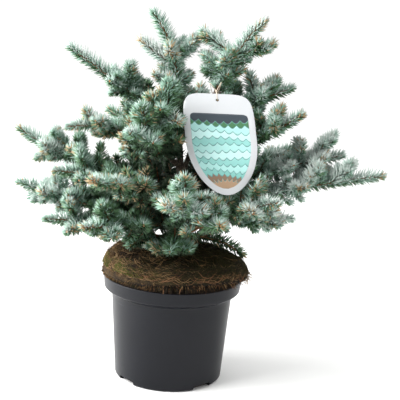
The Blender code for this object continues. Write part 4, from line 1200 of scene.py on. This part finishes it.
def strand_paths(share, turn, bearing, length, lift, draw):
    """Paths of fibres that wander over the mat, bent in share and turn, with both ends lifted."""
    count = len(share)
    along = np.linspace(-0.5, 0.5, STRAND_STEPS)[None] * length[:, None]
    way = bearing[:, None] + along * draw.normal(0, 14, count)[:, None]
    reach = mat_outline(turn) * share
    path_x = (reach * np.cos(turn))[:, None] + along * np.cos(way)
    path_y = (reach * np.sin(turn))[:, None] + along * np.sin(way)
    path_turn = np.arctan2(path_y, path_x)
    path_share = np.hypot(path_x, path_y) / mat_outline(path_turn)
    path = mat_points(np.minimum(path_share, 0.995), path_turn)
    over = np.clip(path_share - 0.995, 0, 0.035)
    path[..., 0] += over * MAT_HALF_WIDTH * np.cos(path_turn)
    path[..., 1] += over * MAT_HALF_DEPTH * np.sin(path_turn)
    raised = lift[:, None] * (0.4 + np.linspace(-1, 1, STRAND_STEPS) ** 2)
    path[..., 2] += raised - over * MAT_HALF_WIDTH * 1.3 + draw.normal(0, 0.0004, (count, STRAND_STEPS))
    path[..., 2] = np.maximum(path[..., 2], MAT_UNDERSIDE + 0.001)
    return path


def fringe_paths(fringe, draw):
    """Paths of a fringe: straight out of the mat's edge with a curl, falling with their length squared."""
    turn = (draw.normal if fringe.crowded else draw.uniform)(*fringe.turns, fringe.count)
    foot = mat_points(np.full(fringe.count, 0.975), turn)
    foot[:, 2] = MAT_UNDERSIDE + draw.uniform(*fringe.heights, fringe.count)
    way = unit(outwards_at(turn, fringe.rise) + draw.normal(0, 0.55, (fringe.count, 3)))
    length = draw.uniform(*fringe.lengths, fringe.count)[:, None, None]
    along = np.linspace(0, 1, STRAND_STEPS)[None, :, None] * length
    curl = draw.normal(0, 9, (fringe.count, 1, 3)) * along ** 2
    paths = foot[:, None] + way[:, None] * along + curl - UP * fringe.droop * along ** 2 / length
    paths[..., 2] = np.maximum(paths[..., 2], MAT_UNDERSIDE if fringe.on_rim else 0)
    return paths


def strand_shapes(paths, radius):
    """Fibres along paths, each with a three-sided section that tapers to both ends."""
    count, steps = paths.shape[:2]
    taper = 0.3 + 0.7 * np.sin(np.linspace(0, math.pi, steps))
    ring = circle(turns_round(3), *square_axes(path_headings(paths), [0.05, 0.02, 1.0]))
    points = paths[:, :, None] + ring * (radius[:, None] * taper)[:, :, None, None]
    walls = ring_faces(steps, 3)
    last = (steps - 1) * 3
    template = np.vstack([walls[:, [0, 1, 2]], walls[:, [0, 2, 3]], [[0, 2, 1], [last, last + 1, last + 2]]])
    return points.reshape(-1, 3), [repeated(template, count, steps * 3)]


def matted_fibres(draw):
    """Fibres that lie on the mat, with kinds and radii: pale on the left and along the lip, partly drier
    fibre and partly painted light, and darker to the right, partly painted shade.
    """
    share = np.sqrt(draw.uniform(0, 1, STRANDS))
    edge = draw.uniform(0, 1, STRANDS) < 0.34
    share = np.where(edge, draw.uniform(0.86, 1.0, STRANDS), share)
    edge = share > 0.84
    turn = draw.uniform(0, 2 * math.pi, STRANDS)
    slanting = math.radians(-38) + draw.normal(0, 0.7, STRANDS)
    bearing = np.where(edge, turn + math.pi / 2 + draw.normal(0, 0.17, STRANDS),
                       np.where(np.cos(turn) < -0.2, slanting, draw.uniform(0, 2 * math.pi, STRANDS)))
    length = draw.uniform(0.010, 0.034, STRANDS)
    lift = draw.uniform(0.0004, 0.0034, STRANDS) * np.where(draw.uniform(0, 1, STRANDS) < 0.12, 2.2, 1.0)
    paths = strand_paths(share, turn, bearing, length, lift, draw)
    middle = paths[:, STRAND_STEPS // 2]
    front_lip = (share > 0.984) & (middle[:, 1] < -0.03)
    # Paler strands to the left and at the front lip, darker to the right: partly dry and damp fibre, partly
    # painted light and shade
    dry_and_lit = 0.10 - 7.0 * middle[:, 0] + 0.35 * noise(middle, 0.020, 61)
    dry_and_lit = np.where(front_lip, np.maximum(dry_and_lit, 0.85), np.maximum(dry_and_lit, 0.09))
    chance = draw.uniform(0, 1, STRANDS)
    kind = np.where(chance < 0.48 * dry_and_lit, "tan", np.where(chance < 0.95 * dry_and_lit, "brown", "dark"))
    mossy = (kind == "dark") & (middle[:, 0] > -0.05)
    kind = np.where(mossy & (draw.uniform(0, 1, STRANDS) < 0.55), "olive", kind)
    rusty = front_lip & (middle[:, 0] > -0.045) & (draw.uniform(0, 1, STRANDS) < 0.55)
    kind = np.where(rusty & (kind != "dark"), "rust", kind)
    # Painted shadow: fibres below the lip's tilted plane are made dark
    kind = np.where(middle @ np.array(LIP_SHADOW_LINE) < LIP_SHADOW_LEVEL, "dark", kind)
    return paths, kind, draw.uniform(0.00026, 0.00062, STRANDS)


def build_strands():
    """The mat's fibres by colour: those that lie on it, then the fringes of its edge."""
    draw = np.random.default_rng(SEED + 1)
    paths, kind, radius = matted_fibres(draw)
    paths = np.concatenate([paths, *(fringe_paths(fringe, draw) for fringe in FRINGES)])
    kind = np.concatenate([kind, *(draw.choice(FRINGE_KINDS, fringe.count, p=fringe.shares)
                                   for fringe in FRINGES)])
    radius = np.concatenate([radius, draw.uniform(0.0002, 0.0005, len(kind) - STRANDS)])
    pieces = []
    for name, colour in STRAND_COLOURS.items():
        mine = kind == name
        finish = plain_leaf(f"strand_{name}", colour, 0.8, 0.2)
        pieces.append(new_piece(f"strands_{name}", *strand_shapes(paths[mine], radius[mine]), finish))
    return pieces


def build_spikes(name, foot, turn, height, width, draw, finish):
    """Short three-sided spikes that stand on the mat, leaning outwards and each its own way."""
    count = len(foot)
    way = unit(outwards_at(turn, 0.9) + draw.normal(0, 0.5, (count, 3)))
    ring = circle(turns_round(3), *square_axes(way, [0.3, 0.2, 0.93]))
    base = foot[:, None] + ring * width - way[:, None] * 0.0006
    point = foot + way * draw.uniform(*height, count)[:, None]
    points = np.concatenate([base, point[:, None]], axis=1)
    template = np.array([[0, 2, 1], [0, 1, 3], [1, 2, 3], [2, 0, 3]])
    return new_piece(name, points, [repeated(template, count, 4)], finish)


def build_moss(finish):
    """Moss: spikes crowded on the mat's left edge and in small tufts."""
    draw = np.random.default_rng(SEED + 7)
    turn = np.where(draw.uniform(0, 1, MOSS_TUFTS) < 0.7, draw.normal(MOSS_TURN, 0.34, MOSS_TUFTS),
                    draw.uniform(0, 2 * math.pi, MOSS_TUFTS))
    foot = mat_points(np.clip(draw.normal(0.955, 0.05, MOSS_TUFTS), 0.3, 0.99), turn)
    kept = noise(foot, 0.014, 51) + 0.55 * (np.cos(turn - MOSS_TURN) > 0.8) > 0.32
    return build_spikes("moss", foot[kept], turn[kept], (0.0014, 0.0032), 0.00055, draw, finish)


def build_fuzz(finish):
    """Fuzz: fine dark hairs that stand all over the right half of the mat, where the felt is dampened and in
    painted shade.
    """
    draw = np.random.default_rng(SEED + 9)
    turn = draw.normal(-0.25, 0.85, FUZZ_HAIRS)
    foot = mat_points(np.sqrt(draw.uniform(0.25, 0.98, FUZZ_HAIRS)), turn)
    return build_spikes("fuzz", foot, turn, (0.0015, 0.0046), 0.00040, draw, finish)


def panel_half_width(along):
    """Half the printed panel's width at a height: the outline less a border, with round top corners."""
    tall, power = label_outline(along > 0)
    share = np.clip(np.abs(along) / (tall - LABEL_BORDER), 0, 1)
    half = (LABEL_WIDTH / 2 - LABEL_BORDER) * (1 - share ** power) ** (1 / power)
    in_corner = np.clip(along - (PANEL_TOP - PANEL_CORNER), 0, PANEL_CORNER)
    return half - PANEL_CORNER + np.sqrt(PANEL_CORNER ** 2 - in_corner ** 2)


def on_label(across, along, depth):
    """Points of the skewed label: across, along from its widest line, and depth out of its middle."""
    right, up, out = label_axes()
    height = along - LABEL_SKEW * across - LABEL_UPPER + LABEL_HOLE_DROP
    depth = np.asarray(depth)
    return LABEL_HOLE + across[..., None] * right + height[..., None] * up + depth[..., None] * out


def build_label(finish):
    """The card: rings from the hole out to the outline, over its rounded edge, and back behind."""
    turn = turns_round(LABEL_SIDES)
    across, along = np.cos(turn), np.sin(turn)
    tall, power = label_outline(along > 0)
    edge = np.stack([LABEL_WIDTH / 2 * np.sign(across) * np.abs(across) ** (2 / power),
                     tall * np.sign(along) * np.abs(along) ** (2 / power)], axis=1)
    middle = np.array([0, LABEL_UPPER - LABEL_HOLE_DROP])
    bearing = np.unwrap(np.arctan2(edge[:, 1] - middle[1], edge[:, 0] - middle[0]))
    hole = middle + LABEL_HOLE_RADIUS * outwards_at(bearing)[:, :2]
    half = LABEL_THICKNESS / 2
    soft = half / LABEL_WIDTH
    face = np.linspace(0, 1, 9) * (1 - soft)
    rim = [(1 - soft * 0.3, half * 0.75), (1.0, half * 0.3)]
    rows = [*((share, half) for share in face), *rim]
    rows = np.array([*rows, *((share, -depth) for share, depth in rows[::-1])])
    flat = hole * (1 - rows[:, :1, None]) + edge * rows[:, :1, None]
    points = on_label(flat[..., 0], flat[..., 1], np.broadcast_to(rows[:, 1:], flat.shape[:2]))
    faces = ring_faces(len(rows), LABEL_SIDES, closed_rows=True)
    card = new_piece("label_card", points, [faces[:, ::-1]], finish)
    smooth_by_angle(card, 40)
    return card


def print_band(name, low, high, finish):
    """A printed band: a grid across and up the panel between two wavy lines, as a thin closed plate."""
    columns, rows = PRINT_COLUMNS, PRINT_ROWS
    along = low + (high - low) * np.linspace(0, 1, rows)[:, None]
    across = np.linspace(-1, 1, columns) * panel_half_width(along)
    levels = LABEL_THICKNESS / 2 + PRINT_STEP * np.array([1.0, 0.1])
    points = np.array([on_label(across, along, level) for level in levels])
    here = np.arange(rows - 1)[:, None] * columns + np.arange(columns - 1)
    face = np.stack([here, here + 1, here + columns + 1, here + columns], axis=-1).reshape(-1, 4)
    behind = face[:, ::-1] + rows * columns
    foot, flank = np.arange(columns - 1), np.arange(rows - 1) * columns
    rim = np.concatenate([foot, flank + columns - 1, rows * columns - 1 - foot, flank[::-1] + columns])
    beside = np.roll(rim, -1)
    sides = np.stack([rim, rim + rows * columns, beside + rows * columns, beside], axis=1)
    return new_piece(name, points, [face, behind, sides], finish)


def row_edge(number):
    """Heights of a row's lower edge: arches half an arch aside from the next row's, or a straight end."""
    across = np.linspace(-1, 1, PRINT_COLUMNS)
    if number in (0, len(PANEL_ROWS)):
        return (PANEL_TOP if number else PANEL_FOOT) + 0 * across
    height = PANEL_FOOT + (PANEL_TOP - PANEL_FOOT) * sum(row[1] for row in PANEL_ROWS[:number])
    arches = 0.5 - np.abs(np.sin(math.pi * (across * SCALLOPS + 0.5 * (number % 2))))
    return height + SCALLOP_RISE * arches + 0.002 * np.sin(2.4 * across + number)


def build_print(tints):
    """A made-up pattern in the label's panel: rows of scallops, each a pale band over a thin deep one."""
    bands = []
    for number, (tint, _) in enumerate(PANEL_ROWS):
        low, high = row_edge(number), row_edge(number + 1)
        edge = low + SCALLOP_LINE if number else low
        bands.append(print_band(f"label_print_{number}", edge, high, tints[tint]))
        if number:
            bands.append(print_band(f"label_line_{number}", low, edge, tints["teal"]))
    return bands


def smooth_path(points, per_span):
    """A closed curve through points: each span is a cubic whose slopes follow its neighbours."""
    before, here = np.roll(points, 1, axis=0), points
    ahead, beyond = np.roll(points, -1, axis=0), np.roll(points, -2, axis=0)
    share = (np.arange(per_span) / per_span)[None, :, None]
    before, here, ahead, beyond = (column[:, None] for column in (before, here, ahead, beyond))
    curve = (2 * here + (ahead - before) * share + (2 * before - 5 * here + 4 * ahead - beyond) * share ** 2
             + (3 * here - before - 3 * ahead + beyond) * share ** 3) / 2
    return curve.reshape(-1, 3)


def string_route(limb):
    """The string's way: round the right leader's bough, down to the knot, through the hole and back."""
    whole = limb_line(limb)
    seat = lengths_along(whole)[-1] * limb.bough_share - STRING_SEAT
    stem = at_length(whole, seat)
    heading = headings(whole, seat)
    pull = unit((LABEL_HOLE - stem) - heading * ((LABEL_HOLE - stem) @ heading))
    beside = np.cross(heading, pull)
    hug = BOUGH_TIP_RADIUS + STRING_RADIUS + 3 * GAP
    turns = np.radians(np.linspace(-105, 105, 9))[:, None]
    loop = stem - pull * hug * np.cos(turns) + beside * hug * np.sin(turns)
    right, up, out = label_axes()
    strand = STRING_RADIUS + 2 * GAP
    top = LABEL_HOLE + up * (LABEL_HOLE_RADIUS - STRING_RADIUS - GAP)
    over = LABEL_HOLE + up * (LABEL_HOLE_DROP + 0.003)
    spread = over + up * STRING_RISE + out * 0.004
    before, after = top + out * 0.0016, top - out * 0.0016
    return over, np.array([
        *loop, spread + right * STRING_SPREAD, over + up * 0.004 + right * strand * 1.4,
        over + right * strand * 0.4 + out * 0.0006, before + up * LABEL_HOLE_DROP * 0.6, before,
        after, after + up * LABEL_HOLE_DROP * 0.6, over - right * strand * 0.4 - out * 0.0006,
        over + up * 0.004 - right * strand * 1.4, spread - right * STRING_SPREAD])


def knot_rings(tie):
    """The knot: a ball of three turning lumps, its axis up the label."""
    right, up, out = label_axes()
    turn = np.linspace(0, math.pi, 9)[:, None]
    spin = turns_round(12)
    radii = 0.0016 * np.sin(np.clip(turn, 0.25, math.pi - 0.25)) * (1 + 0.16 * np.cos(3 * spin + turn * 5))
    return (tie - up * 0.0019 * np.cos(turn))[:, None] + radii[..., None] * circle(spin, right, -out)


def build_string(finish, limb):
    """A two-ply string along its route, whose radius swells twice a turn as the plies wind, and a knot."""
    over, route = string_route(limb)
    path = smooth_path(route, 10)
    heading = unit(np.roll(path, -1, axis=0) - np.roll(path, 1, axis=0))
    aside, below = square_axes(heading, [0.31, 0.22, 0.93])
    turns = turns_round(STRING_SIDES)
    lay = 1 + 0.22 * np.cos(2 * (turns - lengths_along(path)[:, None] / 0.0011))
    rings = path[:, None] + circle(turns, aside, -below) * (STRING_RADIUS * 0.82 * lay)[..., None]
    _, up, _ = label_axes()
    knot_points, knot_faces = closed_rings(knot_rings(over + up * 0.0012))
    faces = [ring_faces(len(path), STRING_SIDES, closed_rows=True)]
    faces += [some + len(path) * STRING_SIDES for some in knot_faces]
    return new_piece("string_loop", np.vstack([rings.reshape(-1, 3), knot_points]), faces, finish)


def build_needles(shoots):
    """The needles, dealt by shade into pieces that each stay under the most triangles."""
    needles = all_needles(shoots)
    pieces = []
    low = -9.0
    for name, high, colour in NEEDLE_SHADES:
        mine = np.flatnonzero((needles.shade >= low) & (needles.shade < high))
        low = high
        finish = plain_leaf(f"needle_{name}", colour, 0.52)
        for part, chosen in enumerate(np.array_split(mine, math.ceil(len(mine) / NEEDLES_PER_PIECE))):
            shapes = needle_shapes(Needles(*(column[chosen] for column in needles)))
            pieces.append(new_piece(f"needles_{name}_{part + 1}", *shapes, finish))
    return pieces


def dress(piece, slot, *nodes):
    """A piece rides on the body and stands in for the plain nodes it replaces, which it hides. The slot is
    not used.
    """
    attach(piece, "root")
    if nodes:
        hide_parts(*nodes)


def build_plant():
    """Trunk, boughs, twigs, needles and buds, in place of the plain limbs and masses."""
    shoots = all_shoots()
    boughs = [limb for limb in LIMBS if limb.bough_share]
    old_bark = bark("old_bark", TRUNK_BARK, TRUNK_CREVICE, TRUNK_FLAKE, 190.0, 0.0012)
    wood = new_piece("bark", *build_bark(boughs), old_bark)
    dress(wood, "bark", "trunk", *(f"bough_{limb.name}" for limb in boughs))
    twig_bark = bark("twig_bark", TWIG_BARK, TWIG_CREVICE, TWIG_FLAKE, 500.0, 0.0004)
    twigs = new_piece("twigs", *build_twigs(shoots), twig_bark)
    dress(twigs, "bark", *(f"foliage_{limb.name}" for limb in LIMBS))
    for piece in build_needles(shoots):
        dress(piece, "needles")
    budded = [shoot for shoot in shoots if shoot.foot_radius >= SHOOT_FOOT_RADIUS]
    dress(new_piece("buds", *build_buds(budded), plain_leaf("bud_scales", BUD_BROWN, 0.6)), "bark")


def build_container():
    """The pot, the peat, and the mat with its fibres, moss and fuzz."""
    dress(build_pot(pot_plastic()), "black_plastic", "pot")
    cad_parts["root_ball"].material_slots[0].material = peat()
    dress(build_mat(mat_felt()), "fibre", "fibre_mat")
    for piece in build_strands():
        dress(piece, "fibre")
    dress(build_moss(plain_leaf("moss_green", MOSS_GREEN, 0.85, 0.2)), "fibre")
    dress(build_fuzz(plain_leaf("fuzz_olive", FUZZ_OLIVE, 0.9, 0.2)), "fibre")


def build_tag():
    """The card, its printed pattern and its string."""
    dress(build_label(printed_plastic("card_white", LABEL_WHITE)), "label_plastic", "label")
    tints = {name: printed_plastic(f"print_{name}", colour) for name, colour in LABEL_TINTS.items()}
    for band in build_print(tints):
        dress(band, "label_plastic")
    string = build_string(plain_leaf("string_fibre", STRING_PALE, 0.8), LIMBS[0])
    dress(string, "string", "label_string")


def soft_light(name, place, target, side, power, mirrored):
    """A square studio light that faces a point."""
    data = bpy.data.lights.new(name, 'AREA')
    data.shape = 'SQUARE'
    data.size = side
    data.energy = power
    light = bpy.data.objects.new(name, data)
    aim = np.array(target) - np.array(place)
    yaw = math.atan2(aim[1], aim[0]) - math.pi / 2
    pitch = math.atan2(aim[2], math.hypot(aim[0], aim[1])) + math.pi / 2
    light.location = place
    light.rotation_euler = (pitch, 0, yaw)
    light.visible_glossy = mirrored
    bpy.context.scene.collection.objects.link(light)


def build_surround():
    """A white surround whose brightness eases down towards the camera, read by direction."""
    world = bpy.data.worlds.new("surround")
    world.use_nodes = True
    tree = world.node_tree
    way = tree.nodes.new('ShaderNodeTexCoord').outputs["Generated"]
    facing = add_node(tree, 'ShaderNodeVectorMath', {0: way, 1: WORLD_FACING}, operation='DOT_PRODUCT')
    inputs = {"Value": facing.outputs["Value"], "From Min": WORLD_EASE[0], "From Max": WORLD_EASE[1],
              "To Min": WORLD_STRENGTH * WORLD_DIM, "To Max": WORLD_STRENGTH}
    eased = add_node(tree, 'ShaderNodeMapRange', inputs, interpolation_type='SMOOTHSTEP')
    feed(tree, tree.nodes["Background"].inputs["Strength"], eased.outputs["Result"])
    feed(tree, tree.nodes["Background"].inputs["Color"], (1.0, 1.0, 1.0, 1.0))
    bpy.context.scene.world = world


def floor_paint():
    """Matt white, hardly uneven."""
    finish = Finish("floor_white", FLOOR_WHITE, 0.9)
    finish.roughness(finish.effect(PATCHES, Scale=3.0, Contrast=1.0), 0.85, 0.95)
    return finish.material


def build_camera():
    """The camera at the photograph's viewing angle, looking along +Y."""
    data = bpy.data.cameras.new("camera")
    data.lens = CAMERA_LENS
    data.sensor_width = 36.0
    camera = bpy.data.objects.new("camera", data)
    turned = Matrix.Rotation(math.pi / 2 - CAMERA_DOWN, 4, 'X') @ Matrix.Rotation(CAMERA_ROLL, 4, 'Z')
    camera.matrix_world = Matrix.Translation(CAMERA_PLACE) @ turned
    bpy.context.scene.collection.objects.link(camera)
    bpy.context.scene.camera = camera


def build_studio():
    """A wide white floor, the surround, the lights and the camera."""
    corners = np.array([[-1, -1, 0], [1, -1, 0], [1, 1, 0], [-1, 1, 0]]) * FLOOR_HALF_SIZE
    new_piece("floor", corners - UP * GAP, [np.array([[0, 1, 2, 3]])], floor_paint())
    build_surround()
    for name, settings in LIGHTS.items():
        soft_light(name, *settings)
    bpy.context.scene.view_settings.view_transform = 'Standard'
    build_camera()


build_container()
build_plant()
build_tag()
build_studio()
